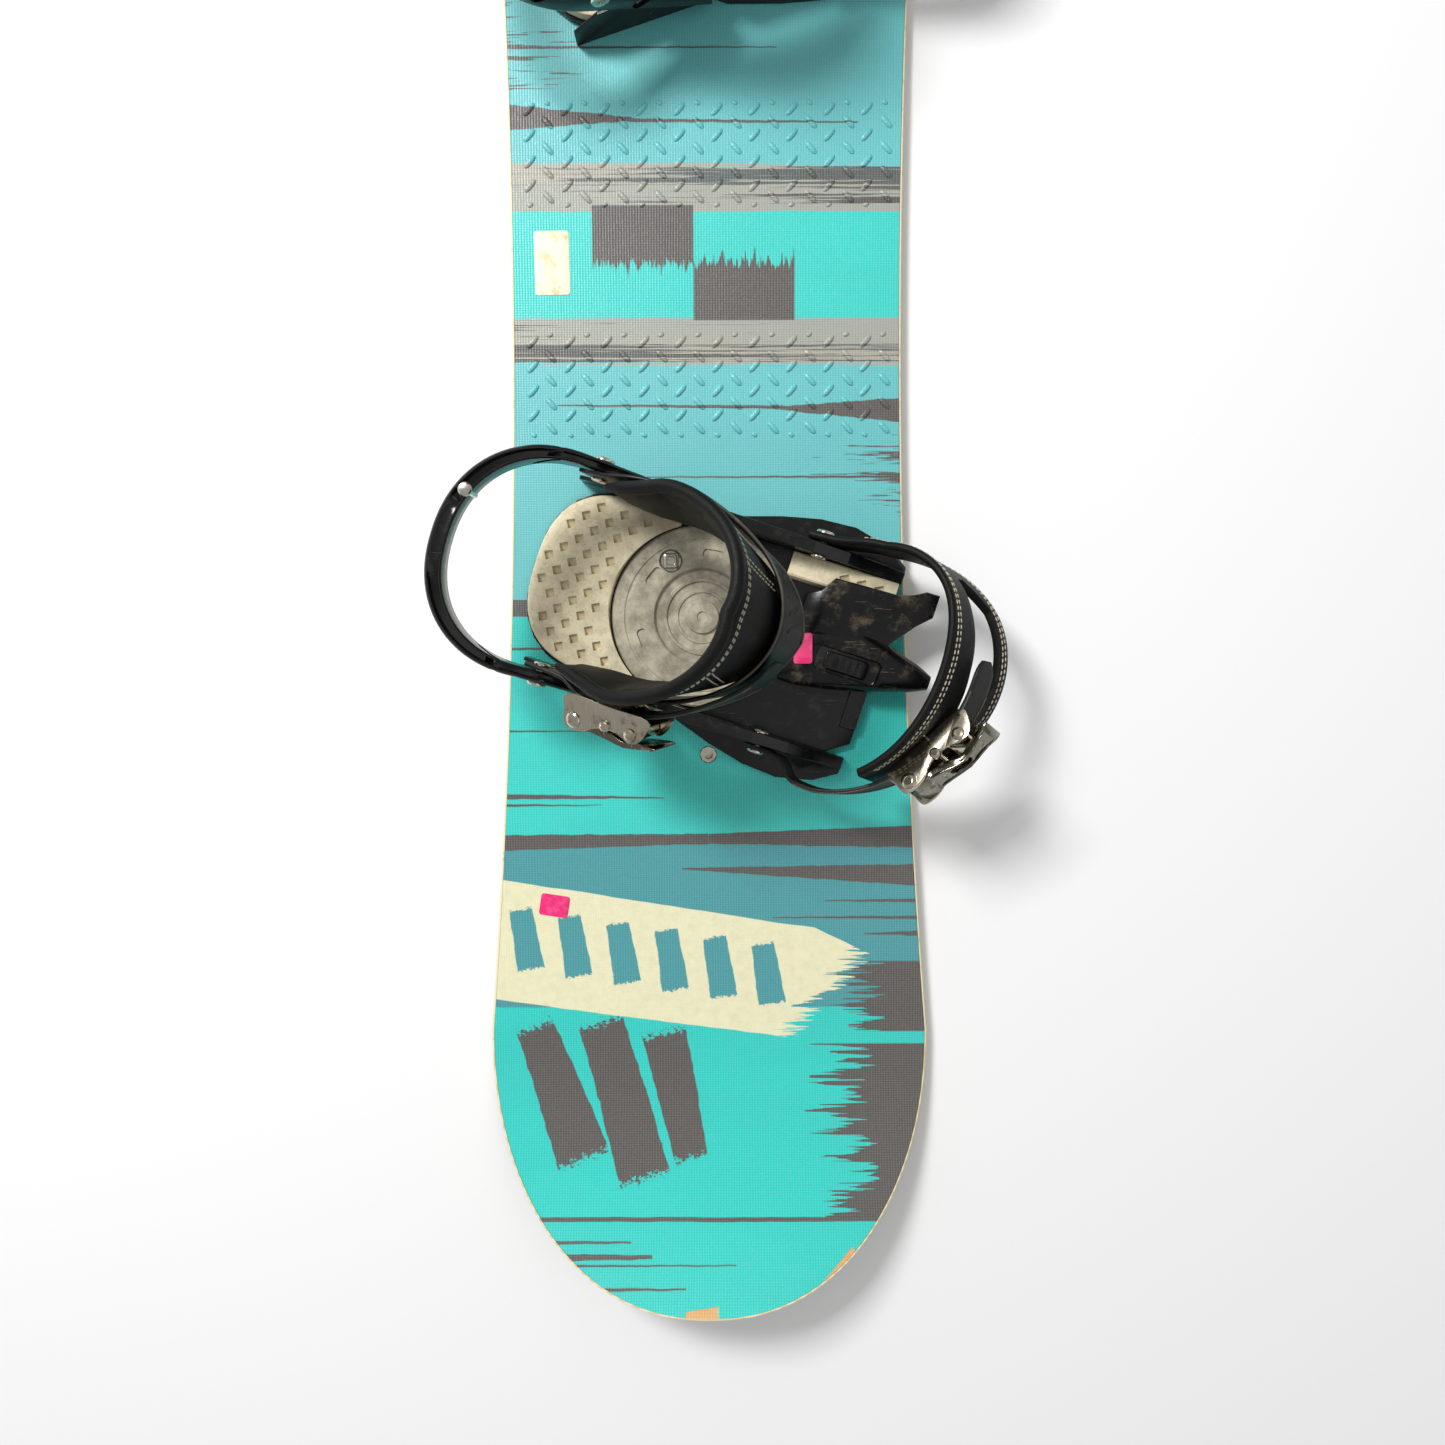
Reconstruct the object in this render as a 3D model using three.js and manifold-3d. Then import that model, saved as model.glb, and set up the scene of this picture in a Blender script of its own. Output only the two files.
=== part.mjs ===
// A child's snowboard with two strap bindings, as an assembly of separate pieces.
// Millimetres. X runs across the board (+X is the toe edge), Y along it and Z up.
// The origin is the middle of the base, where the board rests on the snow.
import * as THREE from 'three';
import { mergeVertices } from 'three/addons/utils/BufferGeometryUtils.js';
import Module from 'manifold-3d';

const wasm = await Module();
wasm.setup();

// ---------------------------------------------------------------- driving dimensions
const GAP = 0.3; // clearance kept between pieces that touch

const BOARD = {
  halfLength: 575,
  waist: 212.4, // width at the middle
  wide: 249, // width at the two widest places
  wideAt: 426, // how far from the middle the widest places are
  tipPower: 2.23, // exponent of the superellipse that rounds each tip
  kickFrom: 425, // where the upturn starts
  kickRadius: 300,
  layerGap: 0.2,
  baseTop: 1.4,
  edgeTop: 2.0,
  edgeWidth: 2.2,
  wallTop: 6.6,
  wallWidth: 5,
  top: 8, // height of the deck
  straightSteps: 14, // stations between the widest places
  tipSteps: 9, // stations along each tip
};

const INSERTS = {
  halfSpread: 20, // the two outer columns stand this far from the centreline
  pairs: [30.5, -14], // rows of two, towards the board's middle from the disc's centre
  singles: [-33, -77], // rows of one, on the centreline
  bossRadius: 4.6,
  boreRadius: 2.9,
  stripHalfWidth: 27,
  stripBottom: 1.6,
  stripTop: 2.7,
};

const STANCE = { x: -3, y: 190.5, angle: 18 }; // disc centres and duck angle

const DISC = { radius: 50, body: 44, flangeBottom: 12.3, top: 14.6, bowl: 27, bowlFloor: 11.6 };
const BOLT = { head: 6, headTop: 16.4, seat: 12.8, shank: 2.5, tip: 3.2 };

const PLATE = {
  bottom: BOARD.top + GAP,
  top: 12,
  holeRadius: 45,
  heel: -97, // heel end of the floor
  toe: 100, // toe end of the floor
  inner: 50.3, // inner face of the side walls
  heelWall: 52.5, // outer face of the walls behind the hoop's ends
  toeWall: 57, // outer face of the walls in front of them
};
// Side wall stations: distance along the foot, wall height, outer face, reach of the skirt
const WALL = [
  [-86, 20, PLATE.heelWall, PLATE.heelWall],
  [-72, 30, PLATE.heelWall, PLATE.heelWall],
  [-40, 34, PLATE.heelWall, PLATE.heelWall],
  [-9, 34, PLATE.heelWall, PLATE.heelWall],
  [-3, 34, PLATE.toeWall, PLATE.toeWall],
  [25, 33, PLATE.toeWall, 66],
  [46, 32, PLATE.toeWall, 71],
  [66, 29, PLATE.toeWall, 72.5],
  [86, 21, PLATE.toeWall, 68],
  [99, 15, PLATE.toeWall, 60],
];

const PAD = { heelTop: 17.5 };

const HOOP = {
  half: 55.8, // middle of each arm, from the centre plane
  frontU: -12,
  frontZ: 25,
  turnU: -80, // where the arms start to bend round the heel
  turnZ: 57,
  rearU: -131.5,
  rearZ: 80,
  rearShift: -2.5, // the bend leans a little to the outer side
  power: 2.2,
  armHeight: 20,
  rearHeight: 16,
  armThickness: 6,
  rearThickness: 8.4,
  peg: 3.6, // a peg on each arm locks into the side wall
  pegU: -26,
  pegZ: 27,
};

const RIVET = { u: -125, v: 22, radius: 2.2, head: 3.4, tip: 70, seat: 88.6 };

// A strap is a band bent over the foot. It turns about an axis across the foot at (u, z), and
// its middle line rises from there at an angle to a crown that is reach away.
const ANKLE = {
  u: -70, z: 55, rise: 26.5, reach: 107, straight: 40, half: 41.5, flare: 3.5, flareRun: [26, 56],
  skew: 3, tilt: 34, lean: 14, endWidth: 10, crownWidth: 31, buckleTurn: 172,
};
const TOE = {
  u: 50, z: 26, rise: 22, reach: 97, straight: 38, half: 57.4, flare: 3.5, flareRun: [6, 34],
  skew: 10, tilt: 50, lean: 0, endWidth: 8, crownWidth: 26, buckleTurn: 124,
};
// How far each layer's inner and outer faces stand out from the strap's innermost surface
const ANKLE_LAYERS = { pad: [0, 7], shell: [8.4, 10.3], ladder: [8.4, 10.6], lifted: [13.5, 15.5] };
const TOE_LAYERS = { strap: [0, 4.5], ladder: [0.2, 2.4], lifted: [7.4, 9.4] };

const BUCKLE = {
  rear: -24, // ends of the frame along the strap
  front: 24,
  footHalf: 8, // the foot that joins the walls is shorter than they are
  half: 12.2, // half its width over the side walls
  wall: 1.5,
  base: 1.2,
  depth: 15,
  pinRadius: 2,
  leverPin: [-18, 12.5], // along the strap, and out from the frame's foot
  middlePin: [1, 10.2],
  pawlPin: [16, 10.2],
};

// ---------------------------------------------------------------- materials
const finish = (color, roughness, metalness = 0) =>
  new THREE.MeshStandardMaterial({ color, roughness, metalness });
const FINISH = {
  deck: finish(0x63d9d6, 0.4),
  base: finish(0x24282b, 0.45),
  edge: finish(0x8d9296, 0.35, 1),
  wall: finish(0xd9cda6, 0.6),
  core: finish(0xd8b880, 0.8),
  insert: finish(0xc9ccce, 0.3, 1),
  disc: finish(0x8b8773, 0.35),
  plastic: finish(0x151617, 0.3),
  foam: finish(0xa9a48a, 0.85),
  leather: finish(0x1b1c1b, 0.45),
  rubber: finish(0x1d1e1d, 0.6),
  metal: finish(0xb9b5a8, 0.25, 1),
};

// ---------------------------------------------------------------- mesh helpers
const point = (x, y, z) => new THREE.Vector3(x, y, z);
const radians = THREE.MathUtils.degToRad;
const lerp = THREE.MathUtils.lerp;

function signedVolume(geometry) {
  const p = geometry.attributes.position;
  const corner = (i) => new THREE.Vector3().fromBufferAttribute(p, geometry.index.getX(i));
  let sum = 0;
  for (let i = 0; i < geometry.index.count; i += 3) {
    sum += corner(i).dot(corner(i + 1).cross(corner(i + 2)));
  }
  return sum / 6;
}

function flipped(geometry) {
  const order = geometry.index.array;
  for (let i = 0; i < order.length; i += 3) {
    [order[i + 1], order[i + 2]] = [order[i + 2], order[i + 1]];
  }
  return geometry;
}

// Welds a closed surface, drops slivers with no area and turns it to face out.
function closed(geometry) {
  geometry.deleteAttribute('normal');
  geometry.deleteAttribute('uv');
  const welded = mergeVertices(geometry, 1e-4);
  const order = welded.index.array;
  const kept = [];
  for (let i = 0; i < order.length; i += 3) {
    const [a, b, c] = [order[i], order[i + 1], order[i + 2]];
    if (a !== b && b !== c && c !== a) kept.push(a, b, c);
  }
  welded.setIndex(kept);
  return signedVolume(welded) < 0 ? flipped(welded) : welded;
}

function toSolid(geometry) {
  const welded = closed(geometry.clone());
  return new wasm.Manifold(new wasm.Mesh({
    numProp: 3,
    vertProperties: new Float32Array(welded.attributes.position.array),
    triVerts: new Uint32Array(welded.index.array),
  }));
}

function toGeometry(solid) {
  const mesh = solid.getMesh();
  const geometry = new THREE.BufferGeometry();
  geometry.setAttribute('position', new THREE.BufferAttribute(mesh.vertProperties, 3));
  geometry.setIndex(new THREE.BufferAttribute(mesh.triVerts, 1));
  return geometry;
}

function combine(base, added, removed = []) {
  let solid = toSolid(base);
  added.forEach((geometry) => { solid = solid.add(toSolid(geometry)); });
  removed.forEach((geometry) => { solid = solid.subtract(toSolid(geometry)); });
  return toGeometry(solid);
}

// A surface through equal rings of points, capped at both ends.
function loft(rings) {
  const count = rings[0].length;
  const positions = rings.flat().flatMap((p) => [p.x, p.y, p.z]);
  const order = [];
  for (let i = 0; i + 1 < rings.length; i += 1) {
    for (let j = 0; j < count; j += 1) {
      const k = (j + 1) % count;
      const [a, b, c, d] = [i * count + j, i * count + k, (i + 1) * count + k, (i + 1) * count + j];
      order.push(a, b, c, a, c, d);
    }
  }
  const end = (rings.length - 1) * count;
  for (let j = 1; j + 1 < count; j += 1) {
    order.push(0, j + 1, j, end, end + j, end + j + 1);
  }
  const geometry = new THREE.BufferGeometry();
  geometry.setAttribute('position', new THREE.Float32BufferAttribute(positions, 3));
  geometry.setIndex(order);
  return closed(geometry);
}

// A solid of revolution about Z; the profile is [radius, height] pairs from axis to axis.
function turned(profile, segments = 20) {
  const points = profile.map(([r, z]) => new THREE.Vector2(r, z));
  return closed(new THREE.LatheGeometry(points, segments).rotateX(Math.PI / 2));
}

function rod(radius, from, to, segments = 12) {
  const along = to.clone().sub(from);
  const geometry = new THREE.CylinderGeometry(radius, radius, along.length(), segments);
  const turn = new THREE.Quaternion().setFromUnitVectors(point(0, 1, 0), along.normalize());
  geometry.applyQuaternion(turn);
  const middle = from.clone().add(to).multiplyScalar(0.5);
  return geometry.translate(middle.x, middle.y, middle.z);
}

function block(low, high) {
  const size = high.map((value, i) => value - low[i]);
  const middle = high.map((value, i) => (value + low[i]) / 2);
  return new THREE.BoxGeometry(...size).translate(...middle);
}

// A flat outline in the XY plane, raised from one height to another.
function slab(outline, bottom, top, holes = []) {
  const shape = new THREE.Shape(outline.map(([x, y]) => new THREE.Vector2(x, y)));
  shape.holes = holes.map((hole) => new THREE.Path(hole.map(([x, y]) => new THREE.Vector2(x, y))));
  const settings = { depth: top - bottom, bevelEnabled: false };
  return closed(new THREE.ExtrudeGeometry(shape, settings).translate(0, 0, bottom));
}

// A profile in the XZ plane with a given half width along Y.
function profiled(profile, half, holes = []) {
  const flat = slab(profile, -half, half, holes);
  return closed(flat.applyMatrix4(new THREE.Matrix4().makeBasis(
    point(1, 0, 0), point(0, 0, 1), point(0, 1, 0))));
}

function arc(x, y, radius, from, to, steps) {
  return Array.from({ length: steps + 1 }, (_, i) => {
    const angle = radians(lerp(from, to, i / steps));
    return [x + radius * Math.cos(angle), y + radius * Math.sin(angle)];
  });
}

function named(name, geometry, material) {
  const mesh = new THREE.Mesh(closed(geometry), material);
  mesh.name = name;
  return mesh;
}

// ---------------------------------------------------------------- the board
const kickHeight = (y) => {
  const past = Math.max(0, Math.abs(y) - BOARD.kickFrom);
  return BOARD.kickRadius - Math.sqrt(BOARD.kickRadius ** 2 - past ** 2);
};

// Half widths down one side, from the tail tip to the nose tip, set in from the real edge.
function boardStations(inset) {
  const { waist, wide, wideAt, tipPower, straightSteps, tipSteps } = BOARD;
  const tipLength = BOARD.halfLength - inset - wideAt;
  const tip = [];
  for (let i = 1; i <= tipSteps; i += 1) {
    const angle = (Math.PI / 2) * (i / tipSteps);
    const along = Math.sin(angle) ** (2 / tipPower);
    const across = Math.max(0, Math.cos(angle)) ** (2 / tipPower);
    tip.push([i === tipSteps ? 0 : (wide / 2 - inset) * across, wideAt + tipLength * along]);
  }
  const side = [];
  for (let i = 0; i <= straightSteps; i += 1) {
    const y = lerp(-wideAt, wideAt, i / straightSteps);
    side.push([lerp(waist, wide, (y / wideAt) ** 2) / 2 - inset, y]);
  }
  return [...tip.map(([half, y]) => [half, -y]).reverse(), ...side, ...tip];
}

function boardOutline(inset) {
  const right = boardStations(inset);
  const left = right.slice(1, -1).reverse();
  return [...right, ...left.map(([half, y]) => [-half, y])];
}

// A layer of the board between two heights above the base. It follows the upturned tips, and
// a ring layer leaves out everything further in than its own width.
function boardLayer(inset, bottom, top, ringWidth = 0) {
  const outer = boardOutline(inset);
  const inner = ringWidth ? boardOutline(inset + ringWidth) : [];
  const lift = ([x, y], z) => point(x, y, z + kickHeight(y));
  const corners = [outer, inner].map((line) => [bottom, top].map((z) => line.map((p) => lift(p, z))));
  const triangles = [];
  const quad = (a, b, c, d) => triangles.push(a, b, c, a, c, d);
  const count = outer.length;
  for (let i = 0; i < count; i += 1) {
    const k = (i + 1) % count;
    const [low, high] = corners[0];
    quad(low[i], low[k], high[k], high[i]);
    if (ringWidth) {
      const [innerLow, innerHigh] = corners[1];
      quad(innerLow[k], innerLow[i], innerHigh[i], innerHigh[k]);
      quad(high[i], high[k], innerHigh[k], innerHigh[i]);
      quad(low[k], low[i], innerLow[i], innerLow[k]);
    }
  }
  if (!ringWidth) {
    const half = count / 2;
    const mirror = (i) => (count - i) % count;
    for (let i = 0; i < half; i += 1) {
      const [low, high] = corners[0];
      quad(high[i], high[i + 1], high[mirror(i + 1)], high[mirror(i)]);
      quad(low[i + 1], low[i], low[mirror(i)], low[mirror(i + 1)]);
    }
  }
  const geometry = new THREE.BufferGeometry().setFromPoints(triangles);
  return closed(geometry);
}

// Places of the threaded inserts for the binding on one side of the middle.
function insertPlaces(side) {
  const centre = side * STANCE.y;
  const pairs = INSERTS.pairs.flatMap((row) => [-1, 1].map((column) =>
    [column * INSERTS.halfSpread, centre - side * row]));
  return [...pairs, ...INSERTS.singles.map((row) => [0, centre - side * row])];
}

function insertHoles(radius, bottom, top) {
  return [-1, 1].flatMap((side) => insertPlaces(side).map(([x, y]) =>
    rod(radius, point(x, y, bottom), point(x, y, top), 8)));
}

function insertStrip(side) {
  const places = insertPlaces(side);
  const ys = places.map(([, y]) => y);
  const reach = INSERTS.bossRadius + 2;
  const strip = block(
    [-INSERTS.stripHalfWidth, Math.min(...ys) - reach, INSERTS.stripBottom],
    [INSERTS.stripHalfWidth, Math.max(...ys) + reach, INSERTS.stripTop]);
  const top = BOARD.top - 0.1;
  const bosses = places.map(([x, y]) =>
    rod(INSERTS.bossRadius, point(x, y, INSERTS.stripBottom + 0.2), point(x, y, top), 8));
  const bores = places.map(([x, y]) =>
    rod(INSERTS.boreRadius, point(x, y, INSERTS.stripTop), point(x, y, top + 1), 8));
  return combine(strip, bosses, bores);
}

function insertPockets() {
  return [-1, 1].map((side) => {
    const ys = insertPlaces(side).map(([, y]) => y);
    const reach = INSERTS.bossRadius + 2 + GAP;
    return block(
      [-INSERTS.stripHalfWidth - GAP, Math.min(...ys) - reach, 0],
      [INSERTS.stripHalfWidth + GAP, Math.max(...ys) + reach, INSERTS.stripTop + GAP]);
  });
}

function board() {
  const { layerGap, baseTop, edgeTop, edgeWidth, wallTop, wallWidth, top } = BOARD;
  const clearance = INSERTS.bossRadius + GAP;
  const core = combine(
    boardLayer(wallWidth + layerGap, baseTop + layerGap, wallTop),
    [],
    [...insertPockets(), ...insertHoles(clearance, 0, top + 1)]);
  const deck = combine(
    boardLayer(0, wallTop + layerGap, top), [], insertHoles(clearance, 0, top + 1));
  return [
    named('base_sheet', boardLayer(edgeWidth + layerGap, 0, baseTop), FINISH.base),
    named('steel_edge', boardLayer(0, 0, edgeTop, edgeWidth), FINISH.edge),
    named('side_wall', boardLayer(0, edgeTop + layerGap, wallTop, wallWidth), FINISH.wall),
    named('wood_core', core, FINISH.core),
    named('deck_sheet', deck, FINISH.deck),
    named('front_insert_strip', insertStrip(-1), FINISH.insert),
    named('rear_insert_strip', insertStrip(1), FINISH.insert),
  ];
}

// ---------------------------------------------------------------- disc and bolts
const boltPlaces = [
  [-INSERTS.halfSpread - STANCE.x, INSERTS.pairs[0]],
  [INSERTS.halfSpread - STANCE.x, INSERTS.pairs[0]],
  [-STANCE.x, INSERTS.singles[0]],
];

function mountingDisc() {
  const { radius, body, flangeBottom, top, bowl, bowlFloor } = DISC;
  const blank = turned([
    [0, PLATE.bottom], [body, PLATE.bottom], [body, flangeBottom], [radius, flangeBottom],
    [radius, top - 1], [radius - 1, top], [bowl, top], [bowl - 2, bowlFloor + 0.6],
    [9, bowlFloor], [8, bowlFloor + 1.6], [0, bowlFloor + 1.6],
  ], 32);
  const holes = boltPlaces.flatMap(([x, y]) => [
    rod(BOLT.head + GAP + 0.2, point(x, y, BOLT.seat), point(x, y, top + 5), 14),
    rod(BOLT.shank + GAP, point(x, y, 0), point(x, y, top), 8),
  ]);
  return combine(blank, [], holes);
}

function discBolt([x, y]) {
  const { head, headTop, seat, shank, tip } = BOLT;
  const bottom = seat + GAP;
  return turned([
    [0, tip], [shank, tip], [shank, bottom], [head, bottom], [head, headTop - 1],
    [head - 1, headTop], [0, headTop],
  ], 10).translate(x, y, 0);
}

// ---------------------------------------------------------------- baseplate and footbeds
function wallSide(side) {
  const { inner, bottom } = PLATE;
  const rings = WALL.map(([u, height, face, skirt]) => [
    [inner, bottom], [skirt, bottom], [skirt, bottom + 3.2], [face, bottom + 5.4],
    [face, height], [inner, height],
  ].map(([v, z]) => point(u, side * v, z)));
  return loft(rings);
}

function heelOutline(half, endU, straightU, power, steps = 12) {
  const points = [];
  for (let i = 0; i <= steps; i += 1) {
    const angle = Math.PI / 2 + (Math.PI * i) / steps;
    const across = Math.sign(Math.sin(angle)) * Math.abs(Math.sin(angle)) ** (2 / power);
    const along = -(Math.abs(Math.cos(angle)) ** (2 / power));
    points.push([straightU + (straightU - endU) * along, half * across]);
  }
  return points;
}

function slotCutter(u, z, length, height) {
  const end = length / 2 - height / 2;
  const outline = [...arc(u + end, z, height / 2, -90, 90, 4), ...arc(u - end, z, height / 2, 90, 270, 4)];
  return profiled(outline, 80);
}

function baseplate() {
  const { bottom, top, holeRadius, heel, toe, inner } = PLATE;
  const floor = slab(
    [...heelOutline(inner + 1, heel, -48, 2.6), [toe - 14, -inner - 1], [toe, -inner + 8],
      [toe, inner - 8], [toe - 14, inner + 1]],
    bottom, top, [arc(0, 0, holeRadius, 0, 348, 29)]);
  const frontBar = block([toe - 9, -inner + 16, top - 1], [toe, inner - 16, top + 2]);
  const screwHoles = [-1, 1].flatMap((side) => [
    rod(HOOP.peg + GAP, point(HOOP.pegU, side * 45, HOOP.pegZ), point(HOOP.pegU, side * 60, HOOP.pegZ)),
    rod(2.8, point(TOE.u, side * 45, TOE.z), point(TOE.u, side * 60, TOE.z)),
  ]);
  const slot = slotCutter(17, 25, 34, 7);
  return combine(floor, [wallSide(1), wallSide(-1), frontBar], [...screwHoles, slot]);
}

function heelPad() {
  const hole = DISC.radius + 0.6;
  const edge = 26;
  const cut = radians(180) - Math.acos(edge / hole);
  const from = THREE.MathUtils.radToDeg(cut);
  return slab(
    [...heelOutline(49.9, PLATE.heel + 1, -46, 2.6), [-edge, -49.9],
      ...arc(0, 0, hole, 360 - from, from, 12), [-edge, 49.9]],
    PLATE.top + GAP, PAD.heelTop);
}

function toePad() {
  const inner = 35;
  return loft([[37, 16.2], [60, 19.8], [97, 20]].map(([u, top]) =>
    [[inner, PLATE.top + GAP], [49.9, PLATE.top + GAP], [49.9, top], [inner + 1.5, top]]
      .map(([v, z]) => point(u, v, z))));
}

// ---------------------------------------------------------------- toe ramp
// Ramp stations: distance along the foot, middle, half width, underside and crown heights
const RAMP = [
  [50, -1.5, 18.5, 14.6, 18],
  [60, -0.5, 19.5, 14.6, 22],
  [76, 2, 19.5, 14.6, 25],
  [90, 3, 17, 15, 27],
  [104, 3, 13, 18.5, 28.5],
  [114, 3, 9.5, 21, 29.5],
  [123, 3, 6.5, 23.5, 30],
  [128, 3, 4, 26, 29.8],
];
// Wing stations: distance along the foot, inner and outer edges, underside
const WING = [
  [51, 4, 30, 17], [58, 9, 34, 20.2], [63, 11, 42, 20.8], [98, 12, 43.5, 21.6],
  [106, 22, 46, 22.2], [112, 30, 49.6, 23.2], [119, 37, 49.6, 25],
];

function toeRamp() {
  const body = loft(RAMP.map(([u, middle, half, low, high]) => [
    [half, low], [half, lerp(low, high, 0.45)], [half * 0.72, lerp(low, high, 0.9)],
    [half * 0.3, high], [-half * 0.3, high], [-half * 0.72, lerp(low, high, 0.9)],
    [-half, lerp(low, high, 0.45)], [-half, low],
  ].map(([v, z]) => point(u, middle + v, z))));
  const recess = block([64, -8.5, 21.5], [102, 6, 40]);
  const wing = loft(WING.map(([u, inner, outer, low]) =>
    [[inner, low], [outer, low], [outer, low + 2.4], [inner, low + 2.4]]
      .map(([v, z]) => point(u, v, z))));
  return combine(body, [wing], [recess]);
}

// ---------------------------------------------------------------- heel hoop
function hoopPath() {
  const { half, frontU, frontZ, turnU, turnZ, rearU, rearZ, rearShift, power } = HOOP;
  const arm = [0, 0.3, 0.65].map((t) => ({
    u: lerp(frontU, turnU, t), v: half, z: lerp(frontZ, turnZ, t), bend: 0,
  }));
  const curve = [];
  const steps = 14;
  for (let i = 0; i <= steps; i += 1) {
    const angle = (Math.PI * i) / steps;
    const back = Math.abs(Math.sin(angle)) ** (2 / power);
    const across = Math.sign(Math.cos(angle)) * Math.abs(Math.cos(angle)) ** (2 / power);
    curve.push({
      u: lerp(turnU, rearU, back),
      v: half * across + rearShift * back,
      z: lerp(turnZ, rearZ, back),
      bend: back,
    });
  }
  return [...arm, ...curve, ...arm.map((p) => ({ ...p, v: -p.v })).reverse()];
}

function heelHoop() {
  const path = hoopPath();
  const rings = path.map((here, i) => {
    const before = path[Math.max(0, i - 1)];
    const after = path[Math.min(path.length - 1, i + 1)];
    const along = point(after.u - before.u, after.v - before.v, 0).normalize();
    const out = point(-along.y, along.x, 0).negate();
    const height = lerp(HOOP.armHeight, HOOP.rearHeight, here.bend) / 2;
    const thick = lerp(HOOP.armThickness, HOOP.rearThickness, here.bend) / 2;
    const soft = 1.8;
    return [
      [thick, -height + soft], [thick, height - soft], [thick - soft, height],
      [soft - thick, height], [-thick, height - soft], [-thick, -height + soft],
      [soft - thick, -height], [thick - soft, -height],
    ].map(([a, b]) => point(here.u, here.v, here.z + b).addScaledVector(out, a));
  });
  const pegs = [-1, 1].map((side) => rod(HOOP.peg,
    point(HOOP.pegU, side * (PLATE.inner + 0.2), HOOP.pegZ),
    point(HOOP.pegU, side * (HOOP.half + 1), HOOP.pegZ)));
  const screwHole = rod(2.8, point(ANKLE.u, -80, ANKLE.z), point(ANKLE.u, 80, ANKLE.z));
  const slot = slotCutter(0, 0, 18, 5).rotateY(radians(25)).translate(-46, 0, 40.8);
  const rivetHole = rod(RIVET.radius + GAP, point(RIVET.u, RIVET.v, 70), point(RIVET.u, RIVET.v, 99), 10);
  return combine(loft(rings), pegs, [screwHole, slot, rivetHole]);
}

function hoopRivet() {
  const { u, v, radius, head, tip, seat } = RIVET;
  return turned([
    [0, tip], [radius, tip], [radius, seat], [head, seat], [head, seat + 1],
    [head - 1.2, seat + 1.8], [0, seat + 1.8],
  ], 8).translate(u, v, 0);
}

// ---------------------------------------------------------------- straps
// Where a strap's middle line is at a turn from 0, over the inner pivot, to 180, over the
// outer one. Negative turns, and turns past 180, run straight on down to the pivots.
function strapPoint(strap, turn) {
  const angle = radians(THREE.MathUtils.clamp(turn, 0, 180));
  const beyond = Math.max(0, -turn, turn - 180) / 60; // 60 degrees past an end reach the pivot
  const run = strap.straight * (1 - beyond) + (strap.reach - strap.straight) * Math.sin(angle);
  const spread = strap.half + strap.flare * THREE.MathUtils.smoothstep(run, ...strap.flareRun);
  const rise = radians(strap.rise);
  return point(
    strap.u + run * Math.cos(rise),
    spread * Math.cos(angle) + strap.skew * Math.sin(angle),
    strap.z + run * Math.sin(rise));
}

// How far the sides of a strap lean in over the foot, so that they face a little upwards.
function strapLean(strap, turn) {
  const { clamp, smoothstep } = THREE.MathUtils;
  const level = Math.abs(Math.cos(radians(clamp(turn, 0, 180)))) ** 0.6;
  return strap.lean * level * smoothstep(Math.min(turn + 60, 240 - turn), 5, 50);
}

// The strap's own directions there: towards the crown's far end, across the band, and out.
function strapFrame(strap, turn) {
  const along = strapPoint(strap, turn - 2).sub(strapPoint(strap, turn + 2)).normalize();
  const bow = Math.sin(radians(THREE.MathUtils.clamp(turn, 0, 180)));
  const tilt = radians(lerp(strap.rise, strap.tilt, bow));
  const across = point(-Math.sin(tilt), 0, Math.cos(tilt));
  across.addScaledVector(along, -across.dot(along)).normalize();
  across.applyAxisAngle(along, radians(strapLean(strap, turn)));
  const out = along.clone().cross(across);
  return { at: strapPoint(strap, turn), along, across, out };
}

const strapWidth = (strap, turn) => {
  const bow = Math.sin(radians(THREE.MathUtils.clamp(turn, 0, 180)));
  const start = THREE.MathUtils.clamp(Math.min(turn + 60, 240 - turn) / 60, 0, 1);
  return lerp(strap.endWidth, strap.crownWidth, 0.35 * start + 0.65 * bow ** 0.8);
};

// A band on a strap: turns is the list of stations, edges gives its low and high edges across
// the strap as shares of the strap's half width, and lift gives its inner and outer faces.
function band(strap, turns, edges, lift, soft) {
  return loft(turns.map((turn) => {
    const { at, across, out } = strapFrame(strap, turn);
    const [low, high] = edges(turn).map((share) => share * strapWidth(strap, turn));
    const [inner, outer] = lift(turn);
    return [
      [low + soft, inner], [high - soft, inner], [high, inner + soft], [high, outer - soft],
      [high - soft, outer], [low + soft, outer], [low, outer - soft], [low, inner + soft],
    ].map(([a, b]) => at.clone().addScaledVector(across, a).addScaledVector(out, b));
  }));
}

const range = (from, to, steps) =>
  Array.from({ length: steps + 1 }, (_, i) => lerp(from, to, i / steps));

function pivotHole(strap, side, radius = 2.8) {
  return rod(radius, point(strap.u, side * 20, strap.z), point(strap.u, side * 80, strap.z));
}

function pivotScrew(strap, side, inside, outside) {
  const profile = [
    [0, inside - 1.6], [4.4, inside - 1.6], [4.4, inside - GAP], [2.4, inside - GAP],
    [2.4, outside + GAP], [5.2, outside + GAP], [4.2, outside + 2.2], [0, outside + 2.2],
  ];
  return turned(profile, 8).rotateX(side * -Math.PI / 2).translate(strap.u, 0, strap.z);
}

const ankleTurns = range(0, 180, 18);

function anklePad() {
  const turns = [-44, -22, ...ankleTurns, 202, 218];
  return band(ANKLE, turns, () => [-1, 1], () => ANKLE_LAYERS.pad, 2.2);
}

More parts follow.
